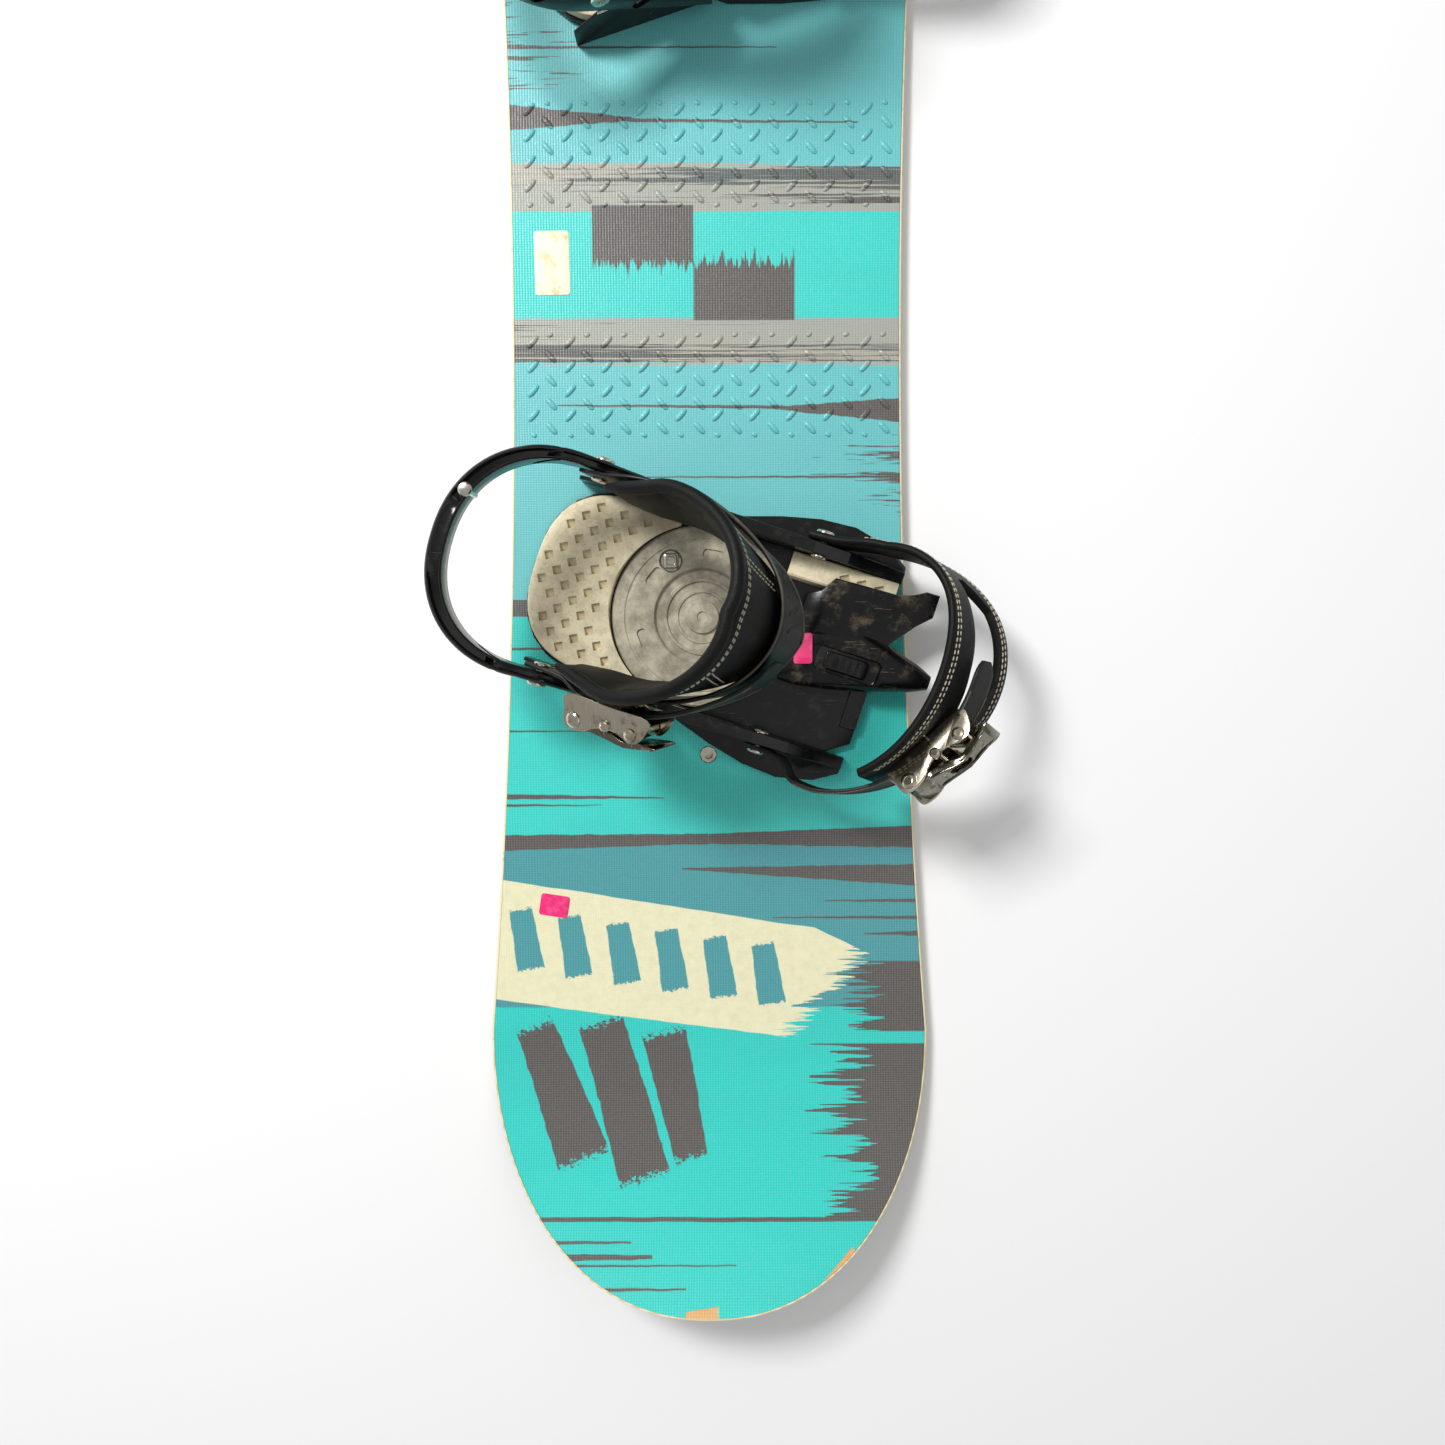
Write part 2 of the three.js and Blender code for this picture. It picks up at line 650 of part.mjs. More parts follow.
function ankleShell() {
  const turns = [-70, -56, -44, -22, ...ankleTurns, 194];
  const edges = (turn) => {
    const share = THREE.MathUtils.smoothstep(turn, -30, 60);
    return [-1.08, lerp(1, -0.3, share)];
  };
  const shell = band(ANKLE, turns, edges, () => ANKLE_LAYERS.shell, 0.8);
  return combine(shell, [], [pivotHole(ANKLE, 1)]);
}

function ladder(strap, layers, tip, tipSteps, shift) {
  const { smoothstep } = THREE.MathUtils;
  const turns = [249, 238, 227, 216, 206, 196, ...range(186, tip, tipSteps)];
  const edges = (turn) => {
    const half = turn === tip ? 5.5 : lerp(7.2, 6.9, smoothstep(turn, 200, 230));
    const middle = shift * smoothstep(-turn, 24 - strap.buckleTurn, 60 - strap.buckleTurn);
    const width = strapWidth(strap, turn);
    return [middle - half / width, middle + half / width];
  };
  const lift = (turn) => {
    const share = smoothstep(-turn, -216, -196);
    return [0, 1].map((i) => lerp(layers.ladder[i], layers.lifted[i], share));
  };
  return combine(band(strap, turns, edges, lift, 0.5), [], [pivotHole(strap, -1)]);
}

function toeStrap() {
  const turns = [-70, -56, -36, -14, ...range(0, 156, 12)];
  const blank = band(TOE, turns, () => [-1, 1], () => TOE_LAYERS.strap, 1.2);
  const window = band(TOE, range(38, 104, 6), (turn) => {
    const share = Math.min(1, Math.min(turn - 30, 112 - turn) / 26);
    return [-0.62 * share - 0.06, 0.1 + 0.12 * share];
  }, () => [-2, 8], 0.4);
  return combine(blank, [], [window, pivotHole(TOE, 1)]);
}

// ---------------------------------------------------------------- ratchet buckles
// In the buckle's own directions: X along the strap, Y across it, Z out from its foot.
function buckleFrame() {
  const { rear, front, footHalf, half, wall, base, depth, pinRadius } = BUCKLE;
  const { leverPin, middlePin, pawlPin } = BUCKLE;
  const foot = block([-footHalf, -half, 0], [footHalf, half, base]);
  const profile = [
    [rear, 0], [front, 0], [front, 8], [front - 4, depth - 1], [10, depth - 1.5],
    [2, depth - 3], [-8, depth], [-16, depth + 2.5], [rear + 2, depth + 2], [rear, depth - 3],
  ];
  const walls = [-1, 1].map((side) =>
    profiled(profile, wall / 2).translate(0, side * (half - wall / 2), 0));
  const pins = [leverPin, middlePin, pawlPin].flatMap(([x, z], i) => [
    rod(pinRadius, point(x, -half, z), point(x, half, z), 8),
    rod([4, 2.8, 3.2][i], point(x, half - 0.4, z), point(x, half + 1.4, z), 8),
    rod([4, 2.8, 3.2][i], point(x, -half - 1.4, z), point(x, 0.4 - half, z), 8),
  ]);
  return combine(foot, [...walls, ...pins]);
}

function buckleLever() {
  const [x, z] = BUCKLE.leverPin;
  const eye = BUCKLE.pinRadius + GAP;
  const profile = [
    ...arc(x, z, eye + 1.6, 200, 340, 4),
    [x + 10, z - 0.6], [x + 19, z + 1.6], [x + 27, z + 4.4], [x + 36, z + 2.2], [x + 47, z + 1],
    [x + 47, z + 2.6], [x + 36, z + 5], [x + 27, z + 7], [x + 19, z + 6], [x + 10, z + 4.6],
    [x + 2, z + 4.6], [x - 3.4, z + 2.4],
  ];
  const inside = BUCKLE.half - BUCKLE.wall - GAP - 0.3;
  return profiled(profile, inside, [arc(x, z, eye, 0, 315, 7)]);
}

function bucklePawl() {
  const [x, z] = BUCKLE.pawlPin;
  const eye = BUCKLE.pinRadius + GAP;
  const profile = [
    ...arc(x, z, eye + 1.3, 250, 430, 5), [x - 4, z + 2.6], [x - 9.5, z - 1.2], [x - 9.5, z - 3.6],
    [x - 7, z - 3],
  ];
  const inside = BUCKLE.half - BUCKLE.wall - GAP - 0.3;
  return profiled(profile, inside, [arc(x, z, eye, 0, 315, 7)]);
}

function buckle(prefix, strap, foot) {
  const { at, along, across, out } = strapFrame(strap, strap.buckleTurn);
  const group = new THREE.Group();
  const place = at.clone().addScaledVector(out, foot);
  group.applyMatrix4(new THREE.Matrix4().makeBasis(along, across, out).setPosition(place));
  group.add(
    named(`${prefix}_buckle_frame`, buckleFrame(), FINISH.metal),
    named(`${prefix}_buckle_lever`, buckleLever(), FINISH.metal),
    named(`${prefix}_release_tab`, bucklePawl(), FINISH.metal));
  return group;
}

// ---------------------------------------------------------------- one binding
function binding(prefix) {
  const name = (piece) => `${prefix}_${piece}`;
  const armFace = HOOP.half + HOOP.armThickness / 2;
  const pieces = new THREE.Group();
  pieces.add(
    named(name('baseplate'), baseplate(), FINISH.plastic),
    named(name('heel_hoop'), heelHoop(), FINISH.plastic),
    named(name('hoop_rivet'), hoopRivet(), FINISH.metal),
    named(name('heel_footbed'), heelPad(), FINISH.foam),
    named(name('toe_footbed'), toePad(), FINISH.foam),
    named(name('toe_ramp'), toeRamp(), FINISH.plastic),
    named(name('ankle_strap_pad'), anklePad(), FINISH.leather),
    named(name('ankle_strap_shell'), ankleShell(), FINISH.rubber),
    named(name('ankle_ladder'), ladder(ANKLE, ANKLE_LAYERS, 102, 7, -0.5), FINISH.rubber),
    named(name('ankle_inner_screw'), pivotScrew(ANKLE, 1, 49.8, armFace), FINISH.metal),
    named(name('ankle_outer_screw'), pivotScrew(ANKLE, -1, 49.9, armFace), FINISH.metal),
    named(name('toe_strap'), toeStrap(), FINISH.leather),
    named(name('toe_ladder'), ladder(TOE, TOE_LAYERS, 80, 9, 0), FINISH.rubber),
    named(name('toe_inner_screw'), pivotScrew(TOE, 1, 50.3, 61.9), FINISH.metal),
    named(name('toe_outer_screw'), pivotScrew(TOE, -1, 50.3, 59.8), FINISH.metal),
    buckle(name('ankle'), ANKLE, ANKLE_LAYERS.shell[1] + GAP),
    buckle(name('toe'), TOE, TOE_LAYERS.strap[1] + GAP));
  return pieces;
}

// The pieces of a binding with left and right exchanged, for the other end of the board.
function exchanged(pieces) {
  pieces.updateMatrixWorld(true);
  const copy = new THREE.Group();
  pieces.traverse((piece) => {
    if (!piece.isMesh) return;
    const geometry = piece.geometry.clone().applyMatrix4(piece.matrixWorld).scale(1, -1, 1);
    copy.add(named(piece.name, geometry, piece.material));
  });
  return copy;
}

function mountedBinding(prefix, side) {
  const group = new THREE.Group();
  group.position.set(STANCE.x, side * STANCE.y, 0);
  const pieces = side < 0 ? binding(prefix) : exchanged(binding(prefix));
  pieces.rotation.z = radians(side * STANCE.angle);
  const places = boltPlaces.map(([x, y]) => [x, -side * y]);
  const disc = side < 0 ? mountingDisc() : mountingDisc().scale(1, -1, 1);
  group.add(
    pieces,
    named(`${prefix}_mounting_disc`, disc, FINISH.disc),
    ...places.map((place, i) => named(`${prefix}_disc_bolt_${i + 1}`, discBolt(place), FINISH.metal)));
  return group;
}

const snowboard = new THREE.Group();
snowboard.add(...board(), mountedBinding('front', -1), mountedBinding('rear', 1));
export default snowboard;
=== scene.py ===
"""Looks of a child's snowboard with two strap bindings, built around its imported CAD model."""

import math

import bmesh
import bpy
from mathutils import Matrix, Vector
from mathutils.bvhtree import BVHTree


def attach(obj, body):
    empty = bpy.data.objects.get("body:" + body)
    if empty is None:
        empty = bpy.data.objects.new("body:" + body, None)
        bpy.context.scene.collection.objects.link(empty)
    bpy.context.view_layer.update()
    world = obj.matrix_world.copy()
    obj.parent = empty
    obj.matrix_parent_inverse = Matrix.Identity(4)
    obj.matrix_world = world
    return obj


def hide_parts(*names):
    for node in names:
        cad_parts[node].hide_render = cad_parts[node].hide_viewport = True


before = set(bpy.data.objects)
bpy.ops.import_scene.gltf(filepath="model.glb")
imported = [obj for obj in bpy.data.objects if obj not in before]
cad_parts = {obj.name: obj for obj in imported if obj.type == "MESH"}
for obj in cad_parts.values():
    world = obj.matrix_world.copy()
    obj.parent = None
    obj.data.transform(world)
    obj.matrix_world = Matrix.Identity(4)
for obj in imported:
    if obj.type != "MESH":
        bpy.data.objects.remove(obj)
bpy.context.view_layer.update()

MM = 0.001
SIDES = (("front", -1), ("rear", 1))
STANCE_X, STANCE_Y, STANCE_ANGLE = -3.0, 190.5, 18.0
UP, ACROSS = (0, 0, 1), (0, 1, 0)
PIVOT_BORE = 2.8  # radius of the holes for the strap screws
BUCKLE_BORE = 2.3  # radius of the holes for the buckles' pins

# sRGB colours of the object, 0 to 255
TEAL = (36, 212, 200)
NOSE_TEAL = (14, 208, 196)
BLUE_TEAL = (62, 152, 158)
AQUA = (98, 192, 194)
LIGHT_GREY = (168, 164, 150)
DARK_GREY = (84, 80, 76)
CREAM = (240, 236, 196)
WOOD = (232, 186, 120)
WHITE_THREAD = (205, 200, 178)


def linear(colour):
    """An sRGB colour of 0 to 255 as the linear RGBA that a shader takes."""
    parts = [c / 255 for c in colour]
    return [c / 12.92 if c <= 0.04045 else ((c + 0.055) / 1.055) ** 2.4 for c in parts] + [1]


def clamp(x, low=0.0, high=1.0):
    return min(high, max(low, x))


def lerp(a, b, t):
    return a + (b - a) * t


def smooth(x, low, high):
    t = clamp((x - low) / (high - low))
    return t * t * (3 - 2 * t)


# ---------------------------------------------------------------- material graphs
class Field:
    """A number that varies over a surface; arithmetic on it adds math nodes."""

    def __init__(self, graph, socket):
        self.graph, self.socket = graph, socket

    def __add__(self, other):
        return self.graph.math("ADD", self, other)

    def __sub__(self, other):
        return self.graph.math("SUBTRACT", self, other)

    def __rsub__(self, other):
        return self.graph.math("SUBTRACT", other, self)

    def __mul__(self, other):
        return self.graph.math("MULTIPLY", self, other)

    def __pow__(self, other):
        return self.graph.math("POWER", self, other)

    def __abs__(self):
        return self.graph.math("ABSOLUTE", self)

    __radd__ = __add__
    __rmul__ = __mul__


class Graph:
    """One procedural material in object coordinates, in millimetres."""

    def __init__(self, name, rough=0.5, metal=0.0, **sockets):
        self.material = bpy.data.materials.new(name)
        self.material.use_nodes = True
        self.tree = self.material.node_tree
        self.tree.nodes.clear()
        output = self.tree.nodes.new("ShaderNodeOutputMaterial")
        self.shader = self.tree.nodes.new("ShaderNodeBsdfPrincipled")
        self.tree.links.new(self.shader.outputs[0], output.inputs[0])
        self.shader.inputs["Roughness"].default_value = rough
        self.shader.inputs["Metallic"].default_value = metal
        for key, value in sockets.items():
            self.shader.inputs[key.replace("_", " ")].default_value = value
        coordinates = self.tree.nodes.new("ShaderNodeTexCoord")
        scale = self.tree.nodes.new("ShaderNodeVectorMath")
        scale.operation = "SCALE"
        scale.inputs["Scale"].default_value = 1000
        self.tree.links.new(coordinates.outputs["Object"], scale.inputs[0])
        self.place = scale.outputs[0]
        split = self.tree.nodes.new("ShaderNodeSeparateXYZ")
        self.tree.links.new(self.place, split.inputs[0])
        self.x, self.y, self.z = (Field(self, s) for s in split.outputs)

    def put(self, socket, value):
        if isinstance(value, Field):
            value = value.socket
        if isinstance(value, bpy.types.NodeSocket):
            self.tree.links.new(value, socket)
        else:
            socket.default_value = value

    def math(self, operation, *values):
        node = self.tree.nodes.new("ShaderNodeMath")
        node.operation = operation
        for socket, value in zip(node.inputs, values):
            self.put(socket, value)
        return Field(self, node.outputs[0])

    def step(self, value, low=0.0, high=1.0):
        """0 below low, 1 above high and smooth between."""
        node = self.tree.nodes.new("ShaderNodeMapRange")
        node.interpolation_type = "SMOOTHSTEP"
        self.put(node.inputs["Value"], value)
        node.inputs["From Min"].default_value = low
        node.inputs["From Max"].default_value = high
        return Field(self, node.outputs[0])

    def noise(self, size, detail=2.0, stretch=(1, 1, 1), seed=0.0, rough=0.5):
        """Noise of about that feature size in millimetres, longer along a stretched axis."""
        mapping = self.tree.nodes.new("ShaderNodeMapping")
        self.put(mapping.inputs["Vector"], self.place)
        mapping.inputs["Location"].default_value = (seed * 7.3, seed * 3.1, seed * 5.7)
        mapping.inputs["Scale"].default_value = [1 / (size * s) for s in stretch]
        node = self.tree.nodes.new("ShaderNodeTexNoise")
        self.put(node.inputs["Vector"], mapping.outputs[0])
        node.inputs["Scale"].default_value = 1
        node.inputs["Detail"].default_value = detail
        node.inputs["Roughness"].default_value = rough
        return Field(self, node.outputs["Fac"])

    def blend(self, share, first, second):
        """A colour that goes from the first to the second as share goes from 0 to 1."""
        node = self.tree.nodes.new("ShaderNodeMix")
        node.data_type = "RGBA"
        self.put(node.inputs["Factor"], share)
        for socket, colour in zip((node.inputs[6], node.inputs[7]), (first, second)):
            self.put(socket, linear(colour) if isinstance(colour, tuple) else colour)
        return node.outputs[2]

    def bump(self, height, distance_mm, strength=1.0):
        node = self.tree.nodes.new("ShaderNodeBump")
        node.inputs["Strength"].default_value = strength
        node.inputs["Distance"].default_value = distance_mm * MM
        self.put(node.inputs["Height"], height)
        self.put(self.shader.inputs["Normal"], node.outputs[0])

    def colour(self, value):
        self.put(self.shader.inputs["Base Color"], linear(value) if isinstance(value, tuple) else value)
        return self

    def roughness(self, value):
        self.put(self.shader.inputs["Roughness"], value)
        return self


# ---------------------------------------------------------------- deck graphic
def inside(g, value, low, high, soft=0.5):
    return g.step(value, low - soft, low + soft) * (1 - g.step(value, high - soft, high + soft))


def spikes(g, pitch, power, seed):
    """Brush-hair spikes: quick along Y, slow along X, from 0 to 1."""
    fine = g.noise(pitch, 3, (30, 1, 1000), seed, 0.75)
    return g.step(fine, 0.32, 0.72) ** power


def stroke(g, start, end, widths, seed, dry=0.0):
    """A straight brush stroke between two points, with its half width at each end."""
    (x0, y0), (x1, y1) = start, end
    length = math.hypot(x1 - x0, y1 - y0)
    along_x, along_y = (x1 - x0) / length, (y1 - y0) / length
    along = (g.x - x0) * along_x + (g.y - y0) * along_y
    across = (g.y - y0) * along_x - (g.x - x0) * along_y
    half = along * ((widths[1] - widths[0]) / length) + widths[0]
    wobble = (g.noise(9, 3, (1, 1, 1000), seed) - 0.5) * min(3.0, 1.0 + max(widths) * 0.12)
    sides = 1 - g.step(abs(across + wobble) - half, -0.35, 0.35)
    if not dry:
        return sides * inside(g, along, 0, length)
    hairs = g.noise(2.2, 3, (1, 1, 1000), seed + 1, 0.8)
    return sides * inside(g, along - (hairs - 0.5) * dry, 0, length - dry * 0.5)


def bands(g):
    """The full-width bands, from either tip to the middle, as a stepped ramp along the board."""
    wavy = g.y + (g.noise(30, 2, (1, 6, 1000), 5) - 0.5) * 1.6
    node = g.tree.nodes.new("ShaderNodeValToRGB")
    node.color_ramp.interpolation = "CONSTANT"
    reach = 600.0
    g.put(node.inputs[0], g.math("MULTIPLY_ADD", wavy, 1 / reach, 1))
    stops = [
        (-531.8, DARK_GREY), (-527.4, NOSE_TEAL), (-413, BLUE_TEAL), (-315.5, TEAL),
        (-191.7, DARK_GREY), (-181, AQUA), (-53.8, DARK_GREY), (-42.5, LIGHT_GREY), (-30.3, TEAL),
    ]
    ramp = node.color_ramp
    ramp.elements.remove(ramp.elements[1])
    ramp.elements[0].color = linear(NOSE_TEAL)
    for y, paint in stops:
        ramp.elements.new(1 + y / reach).color = linear(paint)
    return node.outputs[0]


def grey_bands(g, paint):
    """The two grey bands near the middle, with two paints dragged together."""
    hairs = g.noise(1.5, 4, (80, 1, 1000), 8, 0.7) + g.x * 0.0009
    light = inside(g, g.y, -53.8, -42.5) * g.step(hairs, 0.5, 0.56)
    dark = inside(g, g.y, -42.5, -30.3) * (1 - g.step(hairs, 0.38, 0.43))
    return g.blend(dark, g.blend(light, paint, LIGHT_GREY), DARK_GREY)


def masses(g, paint):
    """Dark paint that comes in from the edge and ends in spikes."""
    for edge, reach, low, high, seed, pitch, power in (
            (100, 36, -427, -386, 11, 4.0, 0.8), (96, 42, -528.7, -434, 13, 4.5, 1.0),
            (116, 60, -137, -91, 18, 2.2, 3.2)):
        limit = edge - reach * spikes(g, pitch, power, seed)
        mass = g.step(g.x - limit, 0, 0.5) * inside(g, g.y, low, high)
        paint = g.blend(mass, paint, DARK_GREY)
    return paint


def streaks(g, paint):
    """Single dark strokes: start, end and the half widths there."""
    lines = [
        ((-124, -317.4), (0, -315.4), (4.6, 2.9)), ((0, -315.4), (124, -314.3), (2.9, 6.5)),
        ((-82, -74.7), (42, -76), (0.4, 1.0)), ((40, -76.5), (112, -77.8), (1.0, 7.0)),
        ((-38, -113.7), (112, -113.7), (0.3, 0.8)), ((-114, -208), (-20, -208), (0.7, 0.2)),
        ((-114, -254.2), (-60, -254.2), (0.6, 0.2)), ((-116, -291), (-25, -292), (1.6, 0.3)),
        ((-116, -296), (-60, -296), (0.8, 0.2)), ((-15, -332.4), (120, -336.4), (0.4, 6.4)),
        ((66, -351), (122, -351), (0.3, 1.1)), ((36, -360.7), (122, -360.7), (0.3, 1.0)),
        ((88, -370), (122, -370), (0.3, 1.6)), ((-92, -539.5), (-44, -539.5), (0.9, 0.5)),
        ((-84, -546.4), (-32, -546.4), (1.7, 1.0)), ((-80, -550.3), (15, -550.3), (0.6, 0.3)),
        ((-64, -561), (-13, -561), (0.9, 0.4)),
    ]
    for i, (start, end, widths) in enumerate(lines):
        paint = g.blend(stroke(g, start, end, widths, 40 + i), paint, DARK_GREY)
    return paint


def banner(g, paint):
    """A cream brushed banner with plain dabs on it, and three broad slanted strokes below."""
    rough = (g.noise(34, 2, (1, 1, 1000), 50) - 0.5) * 3
    far = g.math("MAXIMUM", g.x - 60, 0)
    top = g.step(g.x * -0.158 - far * 0.33 - g.y - 356.9 + rough, 0, 0.6)
    bottom = g.step(g.y + g.x * 0.137 + 424.6 + rough, 0, 0.6)
    end = (g.y + 381.5) * 0.9 + 96 - spikes(g, 2.4, 1.0, 52) * 22
    shape = top * bottom * (1 - g.step(g.x - end, -0.3, 0.3))
    dirt = g.step(g.noise(6, 4, (1, 1, 1000), 53, 0.7), 0.3, 0.8)
    paint = g.blend(shape, paint, g.blend(dirt * 0.5, CREAM, (214, 212, 170)))
    for i in range(6):
        x = -104 + 27.5 * i
        y = -390 - 0.148 * x
        dab = stroke(g, (x - 3, y + 19), (x + 3, y - 19), (6.5, 8), 60 + 2 * i, dry=7)
        paint = g.blend(dab, paint, BLUE_TEAL)
    for i, (start, end, widths) in enumerate((
            ((-100, -424), (-68, -508), (11, 16)), ((-62, -422), (-34, -518), (13, 15)),
            ((-26, -428), (-8, -508), (13, 9)))):
        paint = g.blend(stroke(g, start, end, widths, 80 + 2 * i, dry=22), paint, DARK_GREY)
    return paint


def middle_patches(g, paint):
    """Two dry-brush patches at the middle of the board, with hairs that run along it."""
    for low_x, high_x, edge, side, seed in ((-62, -7, 31.7, 1, 90), (-7, 48, -29.3, -1, 91)):
        hairs = g.noise(3.2, 4, (1, 30, 1000), seed, 0.8)
        length = g.step(hairs, 0.3, 0.8) * 14 + 27
        into = (edge - g.y) * side
        patch = inside(g, g.x, low_x, high_x) * g.step(length - into, 0, 0.8) * g.step(into, -0.4, 0.4)
        paint = g.blend(patch, paint, DARK_GREY)
    return paint


def deck_material():
    g = Graph("deck_topsheet", rough=0.36, Coat_Weight=0.12, Coat_Roughness=0.25)
    real_x, real_y = g.x, g.y
    half = g.math("SIGN", real_y)
    g.x, g.y = real_x * half * -1, abs(real_y) * -1
    paint = bands(g)
    paint = g.blend(g.step(g.noise(60, 3, (3, 1, 1000), 2), 0.35, 0.75) * 0.16, paint, BLUE_TEAL)
    for layer in (grey_bands, masses, streaks, banner):
        paint = layer(g, paint)
    g.x, g.y = real_x, real_y
    paint = middle_patches(g, paint)

    side_chip = stroke(g, (66, -560), (83, -546), (4, 5), 92)
    tip_chip = stroke(g, (-13, -574.5), (5, -574), (4, 5.5), 93)
    chips = g.math("MAXIMUM", side_chip, tip_chip)
    grain = g.noise(1.2, 3, (8, 1, 1), 95)
    paint = g.blend(chips, paint, g.blend(grain, WOOD, (214, 158, 92)))

    weave_x = g.math("SINE", g.x * (2 * math.pi / 1.5) + g.noise(14, 2, (1, 5, 1), 96) * 5)
    weave_y = g.math("SINE", g.y * (2 * math.pi / 1.3) + g.noise(14, 2, (5, 1, 1), 97) * 5)
    threads = weave_x * 0.5 + weave_y * 0.35 + g.noise(0.9, 2, (1, 1, 1), 98) * 1.4
    paint = g.blend(g.step(threads, 0.2, 1.5) * 0.08, paint, (255, 255, 255))
    g.colour(paint)
    g.roughness(g.step(g.noise(3, 3, (1, 1, 1), 99), 0.3, 0.8) * 0.14 + 0.34)
    g.bump(threads - chips * 3.0, 0.16, 0.45)
    return g.material


# ---------------------------------------------------------------- other materials
def side_wall_material():
    g = Graph("cream_side_wall", rough=0.55)
    plies = g.math("SINE", g.z * 4.2 + g.noise(20, 2) * 2)
    colour = g.blend(g.step(plies, -0.6, 0.6), (222, 205, 158), (240, 228, 190))
    dirt = g.step(g.noise(7, 4, rough=0.7), 0.52, 0.75)
    g.colour(g.blend(dirt * 0.45, colour, (120, 100, 66)))
    g.bump(g.noise(1.0, 3), 0.12, 0.5)
    return g.material


def wood_material():
    g = Graph("laminated_core", rough=0.7)
    rings = g.math("SINE", g.x * 1.1 + g.noise(22, 3, (1, 12, 1)) * 14)
    g.colour(g.blend(g.step(rings, -0.8, 0.8), (206, 160, 98), (232, 196, 138)))
    g.bump(rings, 0.05)
    return g.material


def metal_material(name, clean, dull, rough=0.28):
    g = Graph(name, rough=rough, metal=1.0)
    worn = g.step(g.noise(5, 3, rough=0.6), 0.48, 0.8)
    scratches = g.step(g.noise(0.7, 3, (1, 9, 2), 4), 0.6, 0.74)
    tone = g.blend(worn, clean, dull)
    g.colour(g.blend(scratches * 0.5, tone, (236, 234, 226)))
    g.roughness(worn * 0.22 + rough - 0.08)
    g.bump(g.noise(1.4, 3), 0.05, 0.5)
    return g.material


def plastic_material(name, tone, dusty, rough, dust_share):
    """Moulded plastic with a fine texture, handling scratches and dust."""
    g = Graph(name, rough=rough, Specular_IOR_Level=0.38)
    dust = g.step(g.noise(11, 5, rough=0.72), 0.5, 0.78) * dust_share
    scratches = g.step(g.noise(1.0, 3, (14, 1, 3), 6), 0.66, 0.74) * 0.35
    marks = g.math("MAXIMUM", dust, scratches)
    g.colour(g.blend(marks, tone, dusty))
    g.roughness(marks * 0.4 + g.noise(2, 3) * 0.12 + rough - 0.06)
    g.bump(g.noise(0.8, 3), 0.06, 0.5)
    return g.material


def leather_material(name, tone, light, rough):
    g = Graph(name, rough=rough, Specular_IOR_Level=0.2)
    cells = g.tree.nodes.new("ShaderNodeTexVoronoi")
    cells.feature = "DISTANCE_TO_EDGE"
    cells.inputs["Scale"].default_value = 0.85
    g.put(cells.inputs["Vector"], g.place)
    grain = g.step(Field(g, cells.outputs["Distance"]), 0.0, 0.3)
    creases = g.noise(14, 4, (1, 1, 2), 3, 0.65)
    scuffs = g.step(g.noise(5, 5, rough=0.75), 0.55, 0.78)
    g.colour(g.blend(scuffs * 0.35, tone, light))
    g.roughness(scuffs * 0.25 + creases * 0.15 + rough - 0.06)
    g.bump(grain * 0.5 + creases * 1.6, 0.16, 0.7)
    return g.material


def foam_material():
    g = Graph("footbed_foam", rough=0.85)
    dirt = g.step(g.noise(16, 5, rough=0.7), 0.38, 0.7)
    speck = g.step(g.noise(1.3, 3), 0.55, 0.72)
    tone = g.blend(dirt, (232, 220, 186), (198, 186, 156))
    g.colour(g.blend(speck * 0.25, tone, (120, 112, 94)))
    g.bump(g.noise(0.9, 3), 0.16, 0.7)
    return g.material


def disc_material():
    g = Graph("smoky_disc", rough=0.34, Coat_Weight=0.3, Coat_Roughness=0.2)
    haze = g.step(g.noise(13, 5, rough=0.7), 0.35, 0.72)
    tone = g.blend(haze, (146, 140, 121), (204, 197, 173))
    g.colour(tone)
    g.roughness(haze * 0.25 + 0.25)
    g.bump(g.noise(1.6, 3), 0.07, 0.5)
    return g.material


def thread_material():
    g = Graph("white_thread", rough=0.8, Sheen_Weight=0.3)
    g.colour(g.blend(g.noise(1.2, 2), WHITE_THREAD, (158, 150, 124)))
    g.bump(g.math("SINE", (g.x + g.y) * 9), 0.06, 0.5)
    return g.material


def sticker_material(name, tone, worn):
    g = Graph(name, rough=0.45)
    rubbed = g.step(g.noise(6, 4, rough=0.7), 0.48, 0.62)
    g.colour(g.blend(rubbed, tone, worn))
    g.bump(g.noise(2.2, 3), 0.05, 0.4)
    return g.material


DECK = deck_material()
SIDE_WALL = side_wall_material()
CORE = wood_material()
BASE = plastic_material("running_base", (20, 21, 23), (70, 72, 74), 0.4, 0.25)
EDGE_STEEL = metal_material("edge_steel", (150, 152, 154), (96, 90, 82), 0.35)
HARDWARE = metal_material("zinc_hardware", (206, 202, 190), (150, 144, 130), 0.3)
BUCKLE_METAL = metal_material("cast_buckle", (198, 190, 170), (112, 104, 88), 0.24)
DARK_METAL = metal_material("dark_lever", (120, 116, 104), (48, 46, 42), 0.24)
BLACK_PLASTIC = plastic_material("black_nylon", (12, 13, 13), (104, 98, 84), 0.22, 0.16)
RAMP_PLASTIC = plastic_material("black_ramp", (11, 11, 12), (150, 132, 102), 0.22, 0.34)
LEATHER = leather_material("black_leather", (8, 9, 7), (46, 44, 35), 0.5)
STRAP_RUBBER = plastic_material("strap_rubber", (8, 9, 8), (60, 58, 48), 0.42, 0.12)
LADDER_RUBBER = plastic_material("ladder_rubber", (16, 17, 15), (80, 78, 68), 0.46, 0.2)
